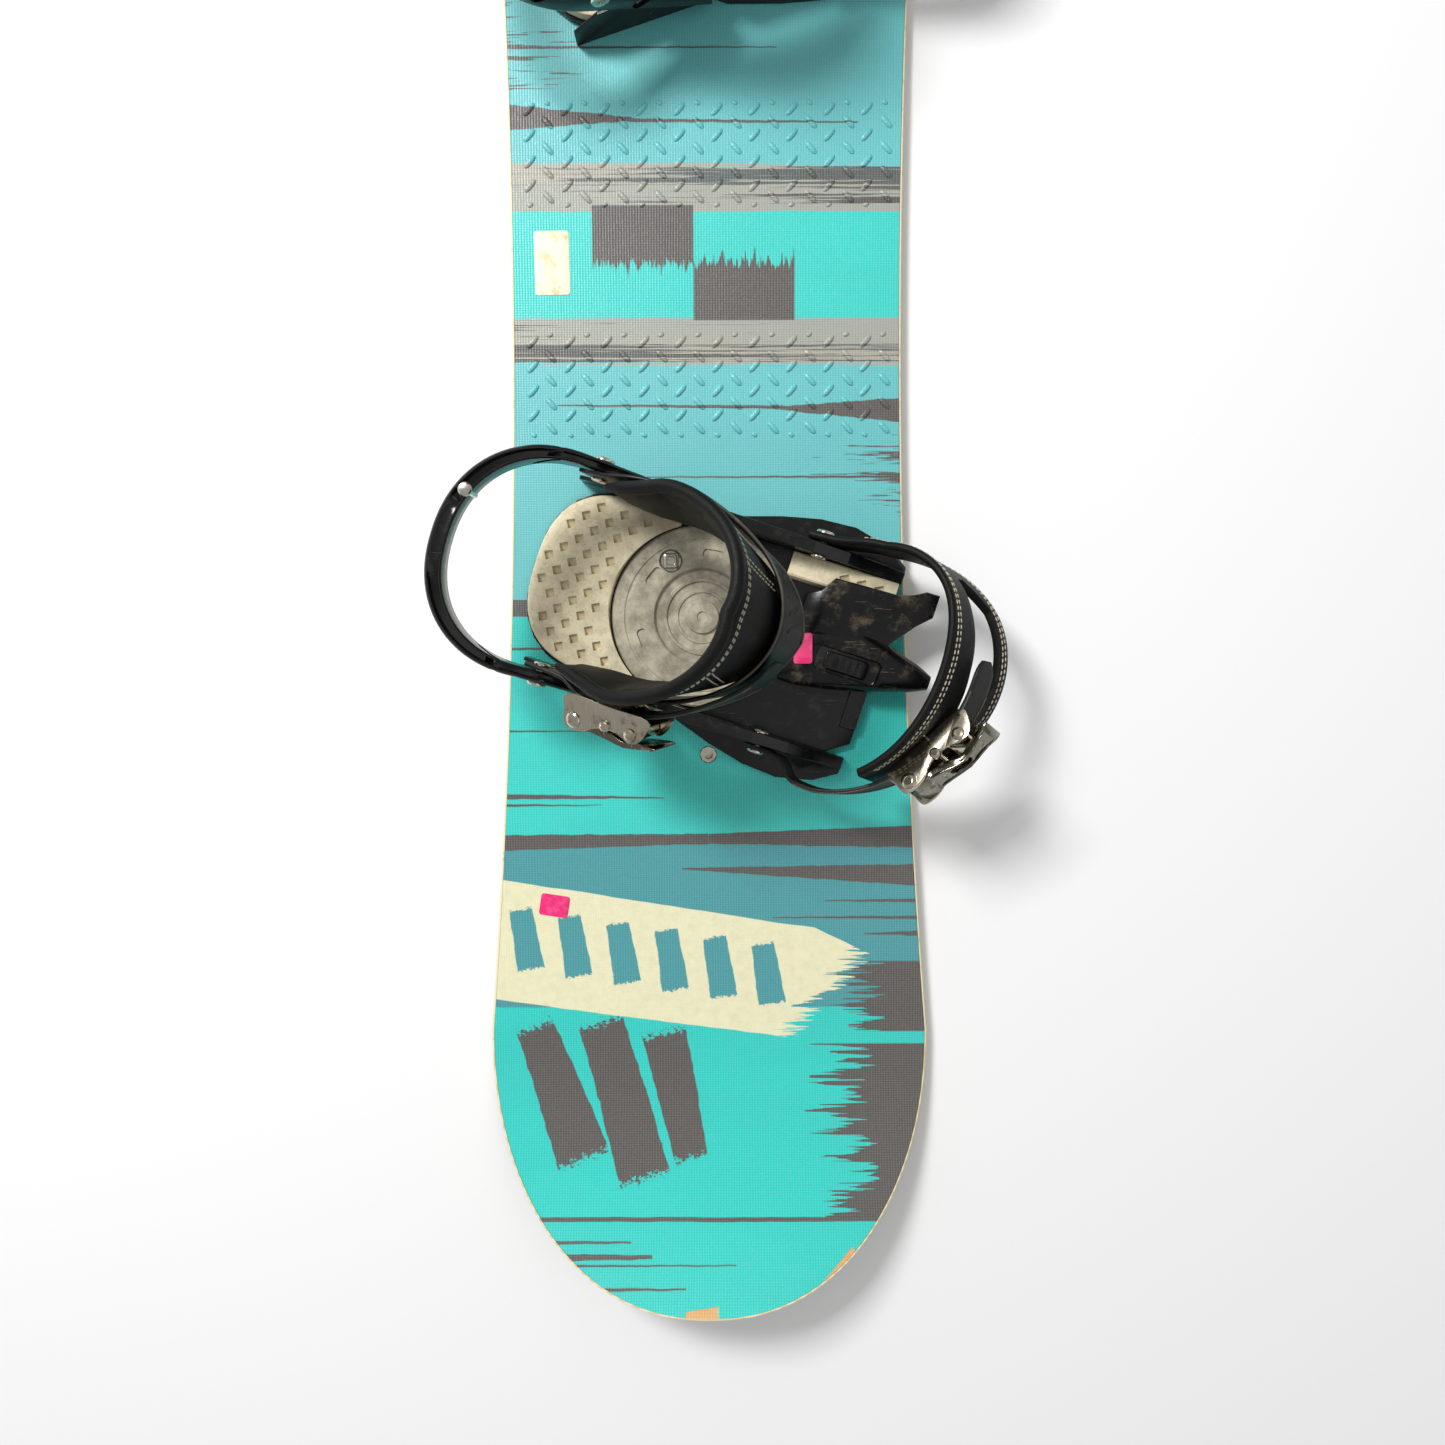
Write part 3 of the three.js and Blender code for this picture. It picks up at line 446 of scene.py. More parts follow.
PIPING = plastic_material("light_piping", (74, 72, 60), (140, 134, 112), 0.4, 0.4)
FOAM = foam_material()
DISC = disc_material()
THREAD = thread_material()
PALE_STICKER = sticker_material("pale_sticker", (246, 242, 214), (228, 214, 160))
PINK_STICKER = sticker_material("pink_sticker", (240, 36, 116), (246, 70, 138))


# ---------------------------------------------------------------- mesh helpers
def stance(side):
    """From a binding's own frame (x heel to toe, y inner side) to the row frame, in metres."""
    turn = Matrix.Rotation(math.radians(-STANCE_ANGLE), 4, "Z")
    there = Matrix.Translation((STANCE_X * MM, -STANCE_Y * MM, 0)) @ turn
    return there if side < 0 else Matrix.Scale(-1, 4, (0, 1, 0)) @ there


def mesh_from(verts, faces, sharp=35):
    """A mesh in metres from corners in millimetres, turned to face out and shaded smooth."""
    bm = bmesh.new()
    corners = [bm.verts.new(Vector(v) * MM) for v in verts]
    for face in faces:
        bm.faces.new([corners[i] for i in face])
    bmesh.ops.remove_doubles(bm, verts=bm.verts, dist=1e-6)
    bmesh.ops.dissolve_degenerate(bm, edges=bm.edges, dist=1e-7)
    bmesh.ops.recalc_face_normals(bm, faces=bm.faces)
    mesh = bpy.data.meshes.new("shape")
    bm.to_mesh(mesh)
    bm.free()
    return shaded(mesh, sharp)


def shaded(mesh, sharp=35):
    mesh.shade_smooth()
    mesh.set_sharp_from_angle(angle=math.radians(sharp))
    return mesh


def loft(rings, looped=False, hollow=False):
    """Corners and faces of a surface through equal closed rings."""
    count, total = len(rings[0]), len(rings)
    verts = [p for ring in rings for p in ring]
    faces = []
    for i in range(total if looped else total - 1):
        for j in range(count):
            k, n = (j + 1) % count, (i + 1) % total
            faces.append((i * count + j, i * count + k, n * count + k, n * count + j))
    if not looped and not hollow:
        faces.append(tuple(range(count)))
        faces.append(tuple((total - 1) * count + j for j in reversed(range(count))))
    return verts, faces


def lathe(profile, centre, axis=(0, 0, 1), steps=40):
    """A turned shape: profile is (radius, height) from axis to axis."""
    turn = Vector((0, 0, 1)).rotation_difference(Vector(axis))
    rings = []
    for r, h in profile:
        ring = [Vector((max(r, 1e-3) * math.cos(a), max(r, 1e-3) * math.sin(a), h))
                for a in (2 * math.pi * k / steps for k in range(steps))]
        rings.append([Vector(centre) + turn @ p for p in ring])
    return loft(rings)


def rod(centre, axis, low, high, radius, steps=24):
    """A straight round rod or drill, from low to high along an axis through centre."""
    return lathe([(0, low), (radius, low), (radius, high), (0, high)], centre, axis, steps)


def joined(parts):
    """Several corner and face lists as one."""
    verts, faces = [], []
    for v, f in parts:
        faces += [tuple(i + len(verts) for i in face) for face in f]
        verts += list(v)
    return verts, faces


def made_solid(mesh, changes):
    """A mesh after modifiers that the given function adds to a temporary object."""
    holder = bpy.data.objects.new("temporary", mesh)
    bpy.context.scene.collection.objects.link(holder)
    changes(holder)
    bpy.context.view_layer.update()
    result = bpy.data.meshes.new_from_object(
        holder.evaluated_get(bpy.context.evaluated_depsgraph_get()))
    bpy.data.objects.remove(holder)
    return result


def cut(mesh, cutter, operation="DIFFERENCE"):
    """Cuts one mesh with another."""
    tool = bpy.data.objects.new("cutter", cutter)
    bpy.context.scene.collection.objects.link(tool)

    def add(holder):
        modifier = holder.modifiers.new("cut", "BOOLEAN")
        modifier.operation = operation
        modifier.object = tool
        modifier.solver = "EXACT"

    result = made_solid(mesh, add)
    bpy.data.objects.remove(tool)
    return result


def bevelled(mesh, width_mm, segments=3, angle=30, sharp=35):
    def add(holder):
        modifier = holder.modifiers.new("bevel", "BEVEL")
        modifier.width = width_mm * MM
        modifier.segments = segments
        modifier.limit_method = "ANGLE"
        modifier.angle_limit = math.radians(angle)
        modifier.use_clamp_overlap = True
    return shaded(made_solid(mesh, add), sharp)


def show(name, mesh, body, material, replaced=()):
    """One visible piece in the row frame."""
    piece = bpy.data.objects.new(name, mesh)
    bpy.context.scene.collection.objects.link(piece)
    mesh.materials.clear()
    mesh.materials.append(material)
    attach(piece, body)
    if replaced:
        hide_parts(*replaced)
    return piece


def on_bindings(name, mesh, body, material, replaced=()):
    """The same piece on both bindings, from a mesh in the binding's own frame."""
    shown = []
    for prefix, side in SIDES:
        copy = mesh.copy()
        copy.transform(stance(side))
        if side > 0:
            copy.flip_normals()
        body_name = prefix + "_" + body if body else "root"
        nodes = [prefix + "_" + node for node in replaced]
        shown.append(show(prefix + "_" + name, copy, body_name, material, nodes))
    return shown


def rounded(half_x, half_y, radius, steps=3):
    """Corners of a rounded rectangle, counter-clockwise."""
    points = []
    for sx, sy, start in ((1, 1, 0), (-1, 1, 90), (-1, -1, 180), (1, -1, 270)):
        for i in range(steps + 1):
            a = math.radians(start + 90 * i / steps)
            points.append((sx * (half_x - radius) + radius * math.cos(a),
                           sy * (half_y - radius) + radius * math.sin(a)))
    return points


def capsule(start, end, out, width, height, steps=6):
    """A low rounded bar, such as a stitch, from start to end on a surface facing out."""
    start, end, out = Vector(start), Vector(end), Vector(out).normalized()
    along = (end - start).normalized()
    side = out.cross(along).normalized()
    length = (end - start).length
    rings = []
    for share, size in ((0.0, 0.25), (0.1, 0.75), (0.28, 1.0), (0.72, 1.0), (0.9, 0.75), (1.0, 0.25)):
        ring = []
        for k in range(steps):
            a = 2 * math.pi * k / steps
            ring.append(start + along * length * share
                        + side * math.cos(a) * width / 2 * size + out * math.sin(a) * height * size)
        rings.append(ring)
    return loft(rings)


# ---------------------------------------------------------------- the board
HALF_LENGTH, WAIST, WIDE, WIDE_AT, TIP_POWER = 575.0, 212.4, 249.0, 426.0, 2.23
KICK_FROM, KICK_RADIUS, DECK_TOP = 425.0, 300.0, 8.0
TOP_SHEET_INSET = 1.3
INSERT_RADIUS = 4.9


def kick(y):
    past = max(0.0, abs(y) - KICK_FROM)
    return KICK_RADIUS - math.sqrt(KICK_RADIUS ** 2 - past ** 2)


def outline(inset):
    """The toe-side edge from the tail tip to the nose tip, set in square to itself."""
    tip = []
    for i in range(1, 41):
        a = math.pi / 2 * i / 40
        across = WIDE / 2 * max(0.0, math.cos(a)) ** (2 / TIP_POWER)
        tip.append(((0 if i == 40 else across),
                    WIDE_AT + (HALF_LENGTH - WIDE_AT) * math.sin(a) ** (2 / TIP_POWER)))
    side = [(lerp(WAIST, WIDE, (y / WIDE_AT) ** 2) / 2, y)
            for y in (lerp(-WIDE_AT, WIDE_AT, i / 90) for i in range(91))]
    line = [(x, -y) for x, y in reversed(tip)] + side + tip
    moved = []
    for i, (x, y) in enumerate(line):
        before = line[i - 1] if i else (-line[1][0], line[1][1])
        after = line[i + 1] if i + 1 < len(line) else (-line[-2][0], line[-2][1])
        dx, dy = after[0] - before[0], after[1] - before[1]
        length = math.hypot(dx, dy)
        moved.append((max(0.0, x - dy / length * inset), y + dx / length * inset))
    return moved


def perimeter(inset):
    right = outline(inset)
    return right + [(-x, y) for x, y in reversed(right[1:-1])]


def edge_ring(section):
    """A ring round the board; section is a list of (inset, height)."""
    lines = [perimeter(inset) for inset, _ in section]
    rings = []
    for i in range(len(lines[0])):
        rings.append([(lines[k][i][0], lines[k][i][1], z + kick(lines[k][i][1]))
                      for k, (_, z) in enumerate(section)])
    return loft(rings, looped=True)


def sheet(inset, bottom, top, columns=24, edge=0.35):
    """A full layer of the board, with softened upper edges."""
    rings = []
    for x, y in outline(inset):
        half = max(x, 0.4)
        soft = min(edge, half / 3)
        z = kick(y)
        ring = [(-half, y, bottom + z), (-half, y, top - soft + z), (-half + soft, y, top + z)]
        ring += [(lerp(-half + 2 * soft, half - 2 * soft, k / columns), y, top + z)
                 for k in range(columns + 1)]
        ring += [(half - soft, y, top + z), (half, y, top - soft + z), (half, y, bottom + z)]
        rings.append(ring)
    return loft(rings)


def insert_places():
    rows = [(-20, 30.5), (20, 30.5), (-20, -14), (20, -14), (0, -33), (0, -77)]
    return [(x, side * (STANCE_Y - row)) for _, side in SIDES for x, row in rows]


def build_board():
    drills = joined([rod((x, y, 0), UP, 5, 10, INSERT_RADIUS) for x, y in insert_places()])
    deck = cut(mesh_from(*sheet(TOP_SHEET_INSET, 6.8, DECK_TOP)), mesh_from(*drills))
    show("topsheet", shaded(deck), "root", DECK, ["deck_sheet"])
    wall = edge_ring([(0.1, 2.2), (0, 2.6), (0, 6.9), (0.25, 7.5), (0.6, 7.75), (1.15, 7.75),
                      (1.15, 6.6), (5, 6.6), (5, 2.2)])
    show("cream_wall", mesh_from(*wall), "root", SIDE_WALL, ["side_wall"])
    steel = edge_ring([(0.15, 0), (0, 0.15), (0, 1.85), (0.15, 2), (2.2, 2), (2.2, 0)])
    show("steel_rim", mesh_from(*steel), "root", EDGE_STEEL, ["steel_edge"])
    base = mesh_from(*sheet(2.4, 0, 1.4))
    show("running_sheet", base, "root", BASE, ["base_sheet"])

    bars = []
    for rows, slant, first, pitch in (
            ((-40.7, -53.8, -66.9, -80.0, 81.7, 68.2, 54.5, 42.0), 48, -95.2, 20.2),
            ((-48.4, -61.1, -73.8, -87.0, 74.9, 61.5, 48.8, 36.0), -48, -85.5, 20.3)):
        half = Vector((math.cos(math.radians(slant)), math.sin(math.radians(slant)), 0)) * 4.4
        for row in rows:
            for column in range(10):
                here = Vector((first + pitch * column, row, DECK_TOP - 0.15))
                bars.append(capsule(here - half, here + half, (0, 0, 1), 3.3, 1.25, steps=12))
    for row, first, rise in (
            (-36.9, -85.5, 0.9), (-90.8, -95.2, -0.9), (85.0, -85.5, -0.9), (31.9, -95.2, 0.9)):
        half = Vector((1.5, rise, 0))
        for column in range(10):
            here = Vector((first + 20.2 * column, row, DECK_TOP - 0.15))
            bars.append(capsule(here - half, here + half, (0, 0, 1), 2.6, 0.9, steps=12))
    show("traction_bars", mesh_from(*joined(bars)), "root", DECK)

    for name, centre, size, turn, tone in (
            ("middle_sticker", (-83.9, 1.3), (9.5, 17), 1, PALE_STICKER),
            ("banner_sticker", (-87.6, -353.4), (8.2, 6.2), -9, PINK_STICKER)):
        plate = tag(size, 1.6)
        place = Matrix.Translation((centre[0] * MM, centre[1] * MM, (DECK_TOP + 0.03) * MM))
        plate.transform(place @ Matrix.Rotation(math.radians(turn), 4, "Z"))
        show(name, plate, "root", tone)


def tag(size, radius, thick=0.25):
    """A thin paper label with rounded corners and a slightly lifted rim."""
    rings = [[(x * s, y * s, z) for x, y in rounded(size[0], size[1], radius, 5)]
             for s, z in ((1, 0), (1, thick * 0.7), (0.985, thick), (0.5, thick * 0.8), (0.02, thick * 0.8))]
    return mesh_from(*loft(rings))


# ---------------------------------------------------------------- strap paths
ANKLE = dict(u=-70, z=55, rise=26.5, reach=107, straight=40, half=41.5, flare=3.5, run=(26, 56),
             skew=3, tilt=34, lean=14, end=10, crown=31, buckle=172, foot=10.6)
TOE = dict(u=50, z=26, rise=22, reach=97, straight=38, half=57.4, flare=3.5, run=(6, 34),
           skew=10, tilt=50, lean=0, end=8, crown=26, buckle=124, foot=4.8)


def pivot(s):
    """Where a strap's pivot axis crosses the binding's middle."""
    return s["u"], 0, s["z"]


def strap_point(s, turn):
    """Middle of a strap at a turn from 0, over the inner pivot, to 180, over the outer one."""
    a = math.radians(clamp(turn, 0, 180))
    beyond = max(0, -turn, turn - 180) / 60
    run = s["straight"] * (1 - beyond) + (s["reach"] - s["straight"]) * math.sin(a)
    spread = s["half"] + s["flare"] * smooth(run, *s["run"])
    rise = math.radians(s["rise"])
    return Vector((s["u"] + run * math.cos(rise),
                   spread * math.cos(a) + s["skew"] * math.sin(a), s["z"] + run * math.sin(rise)))


def strap_frame(s, turn):
    along = (strap_point(s, turn - 2) - strap_point(s, turn + 2)).normalized()
    tilt = math.radians(lerp(s["rise"], s["tilt"], math.sin(math.radians(clamp(turn, 0, 180)))))
    across = Vector((-math.sin(tilt), 0, math.cos(tilt)))
    across = (across - along * across.dot(along)).normalized()
    level = abs(math.cos(math.radians(clamp(turn, 0, 180)))) ** 0.6
    lean = math.radians(s["lean"] * level * smooth(min(turn + 60, 240 - turn), 5, 50))
    across.rotate(Matrix.Rotation(lean, 3, along))
    return strap_point(s, turn), along, across, along.cross(across)


def strap_width(s, turn):
    bow = math.sin(math.radians(clamp(turn, 0, 180)))
    start = clamp(min(turn + 60, 240 - turn) / 60)
    return lerp(s["end"], s["crown"], 0.35 * start + 0.65 * bow ** 0.8)


def on_strap(s, turn, share, lift):
    """A point on a strap: share of its half width across, and lift out from its inner face."""
    at, _, across, out = strap_frame(s, turn)
    return at + across * share * strap_width(s, turn) + out * lift


def turns(low, high, step=3.0):
    count = max(2, round((high - low) / step))
    return [lerp(low, high, i / count) for i in range(count + 1)]


def strap_band(s, stations, edges, faces, soft, columns=8):
    """A band with a rounded rim. edges and faces give its limits at a turn."""
    rings = []
    for turn in stations:
        at, _, across, out = strap_frame(s, turn)
        low, high = (e * strap_width(s, turn) for e in edges(turn))
        inner, outer = faces(turn)
        half = (outer - inner) / 2
        r = min(soft, half, (high - low) / 2.5)
        ring = [(lerp(low + r, high - r, k / columns), inner) for k in range(columns + 1)]
        ring += [(high - r + r * math.sin(a), lerp(inner, inner + r, 1 - math.cos(a)))
                 for a in (math.radians(d) for d in (30, 60, 90))]
        ring += [(high - r + r * math.cos(a), outer - r + r * math.sin(a))
                 for a in (math.radians(d) for d in (0, 30, 60))]
        ring += [(lerp(high - r, low + r, k / columns), outer) for k in range(columns + 1)]
        ring += [(low + r - r * math.sin(a), outer - r + r * math.cos(a))
                 for a in (math.radians(d) for d in (30, 60, 90))]
        ring += [(low + r - r * math.cos(a), inner + r - r * math.sin(a))
                 for a in (math.radians(d) for d in (0, 30, 60))]
        rings.append([at + across * a + out * b for a, b in ring])
    return loft(rings)


def tube(points, radius, steps=8):
    """A round bead along points in millimetres, with closed ends."""
    rings = []
    for i, p in enumerate(points):
        along = (points[min(i + 1, len(points) - 1)] - points[max(i - 1, 0)]).normalized()
        side = along.cross(Vector((0.31, 0.17, 0.93))).normalized()
        up = side.cross(along)
        shrink = 0.3 if i in (0, len(points) - 1) else 1
        size = radius(i) if callable(radius) else radius
        rings.append([p + (side * math.cos(a) + up * math.sin(a)) * size * shrink
                      for a in (2 * math.pi * k / steps for k in range(steps))])
    return loft(rings)


def resampled(points, step):
    """Points at even distances along a line."""
    kept, left = [points[0]], step
    for a, b in zip(points, points[1:]):
        length = (b - a).length
        done = 0.0
        while length - done >= left:
            done += left
            kept.append(a.lerp(b, done / length))
            left = step
        left -= length - done
    return kept


def seam(surface, points, out_of, step=3.4, length=2.3, width=0.75, height=0.42):
    """Stitches laid on a surface along a line; out_of gives the outward direction at a point."""
    parts = []
    line = resampled(points, step / 2)
    for a, b in zip(line[::2], line[1::2]):
        out = out_of(a)
        ends = []
        for p in (a, b):
            hit, _, _, _ = surface.ray_cast((p + out * 6) * MM, -out, 12 * MM)
            if hit is None:
                hit = surface.find_nearest(p * MM)[0]
            ends.append(hit / MM + out * 0.08)
        middle = (ends[0] + ends[1]) / 2
        if 0.2 < (ends[1] - ends[0]).length < step:
            half = (ends[1] - ends[0]).normalized() * length / 2
            parts.append(capsule(middle - half, middle + half, out, width, height))
    return parts


def tree_of(*meshes):
    """A ray target of meshes in metres."""
    verts, faces = [], []
    for mesh in meshes:
        faces += [tuple(i + len(verts) for i in p.vertices) for p in mesh.polygons]
        verts += [v.co.copy() for v in mesh.vertices]
    return BVHTree.FromPolygons(verts, faces)


def puffed(mesh, voxel_mm, pressure, cap_mm):
    """Swells a closed band with cloth pressure and keeps every point near where it was."""
    remeshed = made_solid(mesh, lambda holder: set_remesh(holder, voxel_mm))
    holder = bpy.data.objects.new("swelling", remeshed)
    bpy.context.scene.collection.objects.link(holder)
    before = [v.co.copy() for v in remeshed.vertices]
    cloth = holder.modifiers.new("cloth", "CLOTH")
    cloth.settings.use_pressure = True
    cloth.settings.uniform_pressure_force = pressure
    cloth.settings.effector_weights.gravity = 0
    cloth.settings.quality = 5
    cloth.point_cache.frame_end = 20
    scene = bpy.context.scene
    for number in range(1, 21):
        scene.frame_set(number)
    swollen = bpy.data.meshes.new_from_object(
        holder.evaluated_get(bpy.context.evaluated_depsgraph_get()))
    scene.frame_set(1)
    bpy.data.objects.remove(holder)
    for vertex, old in zip(swollen.vertices, before):
        move = vertex.co - old
        if move.length > cap_mm * MM:
            move *= cap_mm * MM / move.length
        vertex.co = old + move

    def refine(piece):
        piece.modifiers.new("smooth", "SMOOTH").iterations = 2
        piece.modifiers.new("finer", "SUBSURF").levels = 1
    return shaded(made_solid(swollen, refine), 80)


def set_remesh(holder, voxel_mm):
    modifier = holder.modifiers.new("even", "REMESH")
    modifier.mode = "VOXEL"
    modifier.voxel_size = voxel_mm * MM


# ---------------------------------------------------------------- baseplate group
PLATE_TOP = 12.3
FOOTBED_TOP = 17.5
DISC_RADIUS = 50.0


def heel_outline(half, end, straight, power=2.6, steps=28):
    points = []
    for i in range(steps + 1):
        a = math.pi / 2 + math.pi * i / steps
        across = math.copysign(abs(math.sin(a)) ** (2 / power), math.sin(a))
        points.append((straight - (straight - end) * abs(math.cos(a)) ** (2 / power), half * across))
    return points


def prism(points, bottom, top, rim=0.8):
    """A flat outline raised between two heights, with a softened upper rim."""
    middle = Vector((sum(p[0] for p in points), sum(p[1] for p in points))) / len(points)
    rings = []
    for inset, z in ((0, bottom), (0, top - rim), (rim * 0.35, top - rim * 0.3), (rim, top)):
        ring = []
        for x, y in points:
            toward = (middle - Vector((x, y))).normalized() * inset
            ring.append((x + toward.x, y + toward.y, z))
        rings.append(ring)
    return loft(rings)


def wedge(centre, half, angle, floor, deep, top):
    """A square pocket cutter whose floor slopes up to the surface on one side."""
    c, s = math.cos(angle), math.sin(angle)
    corners = [(-half, -half, deep), (half, -half, floor), (half, half, floor), (-half, half, deep)]
    low = [(centre[0] + x * c - y * s, centre[1] + x * s + y * c, z) for x, y, z in corners]
    return loft([low, [(x, y, top) for x, y, _ in low]])


def heel_footbed():
    hole = DISC_RADIUS + 0.8
    edge = 26
    spread = math.degrees(math.acos(edge / hole))
    arc = [(hole * math.cos(math.radians(d)), hole * math.sin(math.radians(d)))
           for d in (lerp(180 + spread, 180 - spread, i / 24) for i in range(25))]
    shape = heel_outline(49.7, -96, -46) + [(-edge, -49.7)] + arc + [(-edge, 49.7)]
    body = mesh_from(*prism(shape, PLATE_TOP, FOOTBED_TOP, 1.6))
    pockets = []
    for row in range(-5, 7):
        for column in range(-4, 5):
            u = -70 + 6.6 * row
            v = 13.2 * column + 6.6 * (row % 2)
            heel = (max(0, -46 - u) / 46) ** 2.6 + (abs(v) / 46) ** 2.6
            if math.hypot(u, v) > hole + 4 and heel < 0.9 and u < -30:
                pockets.append(wedge((u, v), 2.3, math.radians(117), FOOTBED_TOP - 1.0, FOOTBED_TOP - 3.2,
                                     FOOTBED_TOP + 1))
    return shaded(cut(body, mesh_from(*joined(pockets))), 30)


def toe_footbed():
    rings = [[(u, 35.2, PLATE_TOP), (u, 49.7, PLATE_TOP), (u, 49.7, top - 0.8), (u, 48.9, top),
              (u, 37.4, top), (u, 36.4, top - 0.8)]
             for u, top in ((37.2, 16.2), (60, 19.8), (97, 20))]
    pockets = [wedge((u, 42.6), 2.6, math.radians(117), 18.9, 17.0, 22) for u in (68, 78, 88)]
    return shaded(cut(mesh_from(*loft(rings)), mesh_from(*joined(pockets))), 30)


def build_disc(prefix, side):
    """The disc that clamps the baseplate, its bolts, and the moulded rings of its bowl."""
    centre = (STANCE_X, side * STANCE_Y)
    profile = [(0, 8.4), (44, 8.4), (44, 12.4), (49.9, 12.4), (49.9, 13.8), (49, 14.6), (43, 14.6),
               (42.4, 14.1), (41.6, 14.1), (41, 14.6), (28, 14.6), (26.6, 14.1), (25.4, 12.2),
               (21.5, 12.0), (21, 12.9), (19.6, 12.9), (19, 11.8), (15, 11.8), (14.6, 12.5),
               (13.4, 12.5), (13, 11.7), (9.5, 11.7), (9, 13.2), (8, 13.3), (3, 13.2), (2.6, 12.4), (0, 12.4)]
    body = mesh_from(*lathe(profile, (*centre, 0), steps=96))
    places = [(x, centre[1] - side * row) for x, row in ((-20, 30.5), (20, 30.5), (0, -33))]
    pockets = [rod((x, y, 0), UP, 12.9, 20, 6.5, 32) for x, y in places]
    pockets += [rod((x, y, 0), UP, 0, 20, 2.8, 20) for x, y in places]
    slots = []
    for k in range(6):
        a = math.radians(60 * k + 20)
        at = Vector((centre[0] + 34.5 * math.cos(a), centre[1] + 34.5 * math.sin(a), 0))
        if all((at.xy - Vector(p)).length > 12 for p in places):
            slots.append(loft([[(at.x + x * math.cos(a) - y * math.sin(a),
                                 at.y + x * math.sin(a) + y * math.cos(a), z)
                                for x, y in rounded(2.6, 5.5, 2, 4)] for z in (13.5, 16)]))
    body = cut(body, mesh_from(*joined(pockets + slots)))
    show(prefix + "_disc", shaded(body, 30), "root", DISC, [prefix + "_mounting_disc"])
    for i, (x, y) in enumerate(places):
        head = [[(x + a * s, y + b * s, z) for a, b in rounded(4.3, 4.3, 1.6, 4)]
                for s, z in ((1, 13.1), (1, 15.4), (0.93, 16.1), (0.8, 16.4), (0.56, 16.4), (0.5, 15.9),
                             (0.46, 15.2), (0.02, 15.1))]
        washer = lathe([(4.4, 13.1), (5.9, 13.1), (5.9, 13.8), (5.4, 14.2), (4.4, 14.2)], (x, y, 0), steps=32)
        shank = rod((x, y, 0), UP, 3.3, 13, 2.4, 16)
        washer = washer[0], [f for f in washer[1] if len(f) == 4]
        show(f"{prefix}_clamp_bolt_{i + 1}", mesh_from(*joined([loft(head), washer, shank])), "root",
             HARDWARE, [f"{prefix}_disc_bolt_{i + 1}"])


# Ramp stations: distance along the foot, middle, half width, underside and crown heights
RAMP = [(50, -1.5, 18.5, 14.6, 18), (55, -1, 19.1, 14.6, 20.1), (60, -0.5, 19.5, 14.6, 22),
        (68, 0.8, 19.6, 14.6, 23.6), (76, 2, 19.5, 14.6, 25), (90, 3, 17, 15, 27), (97, 3, 15.3, 16.7, 27.8),
        (104, 3, 13, 18.5, 28.5), (114, 3, 9.5, 21, 29.5), (119, 3, 8.1, 22.2, 29.8), (123, 3, 6.5, 23.5, 30),
        (128, 3, 4, 26, 29.8)]
WING = [(51, 4, 30, 17), (58, 9, 34, 20.2), (63, 11, 42, 20.8), (98, 12, 43.5, 21.6), (106, 22, 46, 22.2),
        (112, 30, 49.6, 23.2), (119, 37, 49.6, 25)]
RECESS = (83, -1.3)


def toe_ramp():
    rings = []
    for u, middle, half, low, high in RAMP:
        ring = []
        for k in range(25):
            a = math.pi * k / 24
            ring.append((u, middle + half * math.copysign(abs(math.cos(a)) ** 0.7, math.cos(a)),
                         low + (high - low) * math.sin(a) ** 0.75))
        rings.append(ring)
    body = mesh_from(*loft(rings))
    wing = loft([[(u, a, low), (u, b, low), (u, b, low + 1.7), (u, b - 0.7, low + 2.4),
                  (u, a + 0.7, low + 2.4), (u, a, low + 1.7)] for u, a, b, low in WING])
    body = cut(body, mesh_from(*wing), "UNION")
    recess = loft([[(RECESS[0] + x * s, RECESS[1] + y * s, z) for x, y in rounded(18, 6.9, 3, 5)]
                   for s, z in ((0.92, 21.8), (0.97, 22.1), (1.1, 40))])
    body = cut(body, mesh_from(*recess))
    return shaded(bevelled(body, 0.7, 2, 35), 40)


def ramp_adjuster():
    """The small tab in the ramp's recess, with its finger ribs."""
    plate = loft([[(RECESS[0] + x * s, RECESS[1] + y * s, z) for x, y in rounded(12, 4.8, 2, 4)]
                  for s, z in ((1, 21.85), (1, 22.9), (0.9, 23.4), (0.05, 23.4))])
    ribs = []
    for i in range(4):
        u = RECESS[0] - 6 + 4 * i
        ribs.append(capsule((u, RECESS[1] - 3.6, 23.3), (u, RECESS[1] + 3.6, 23.3), (0, 0, 1), 1.5, 0.8))
    return mesh_from(*joined([plate] + ribs))


def ramp_label():
    """A blank label on the front binding's ramp, square to the board and lying on the slope."""
    rise = math.atan2(RAMP[3][4] - RAMP[0][4], RAMP[3][0] - RAMP[0][0])
    plate = tag((5.2, 8.4), 1.6)
    plate.transform(Matrix.Rotation(math.radians(STANCE_ANGLE), 4, "Z"))
    plate.transform(Matrix.Rotation(-rise, 4, "Y"))
    plate.transform(Matrix.Translation((57.8 * MM, 0.4 * MM, 22.0 * MM)))
    plate.transform(stance(-1))
    return plate


# ---------------------------------------------------------------- heel hoop
def hoop_stations():
    """Points along the hoop from the inner arm's front round to the outer arm's."""
    half, front, front_z, turn, turn_z = 55.8, -12, 25, -80, 57
    rear, rear_z, shift, power = -131.5, 80, -2.5, 2.2
    arm = [(lerp(front, turn, t), half, lerp(front_z, turn_z, t), 0.0) for t in (i / 12 for i in range(12))]
    curve = []
    for i in range(57):
        a = math.pi * i / 56
        back = abs(math.sin(a)) ** (2 / power)
        across = math.copysign(abs(math.cos(a)) ** (2 / power), math.cos(a))
        curve.append((lerp(turn, rear, back), half * across + shift * back, lerp(turn_z, rear_z, back), back))
    return arm + curve + [(u, -v, z, b) for u, v, z, b in reversed(arm)]


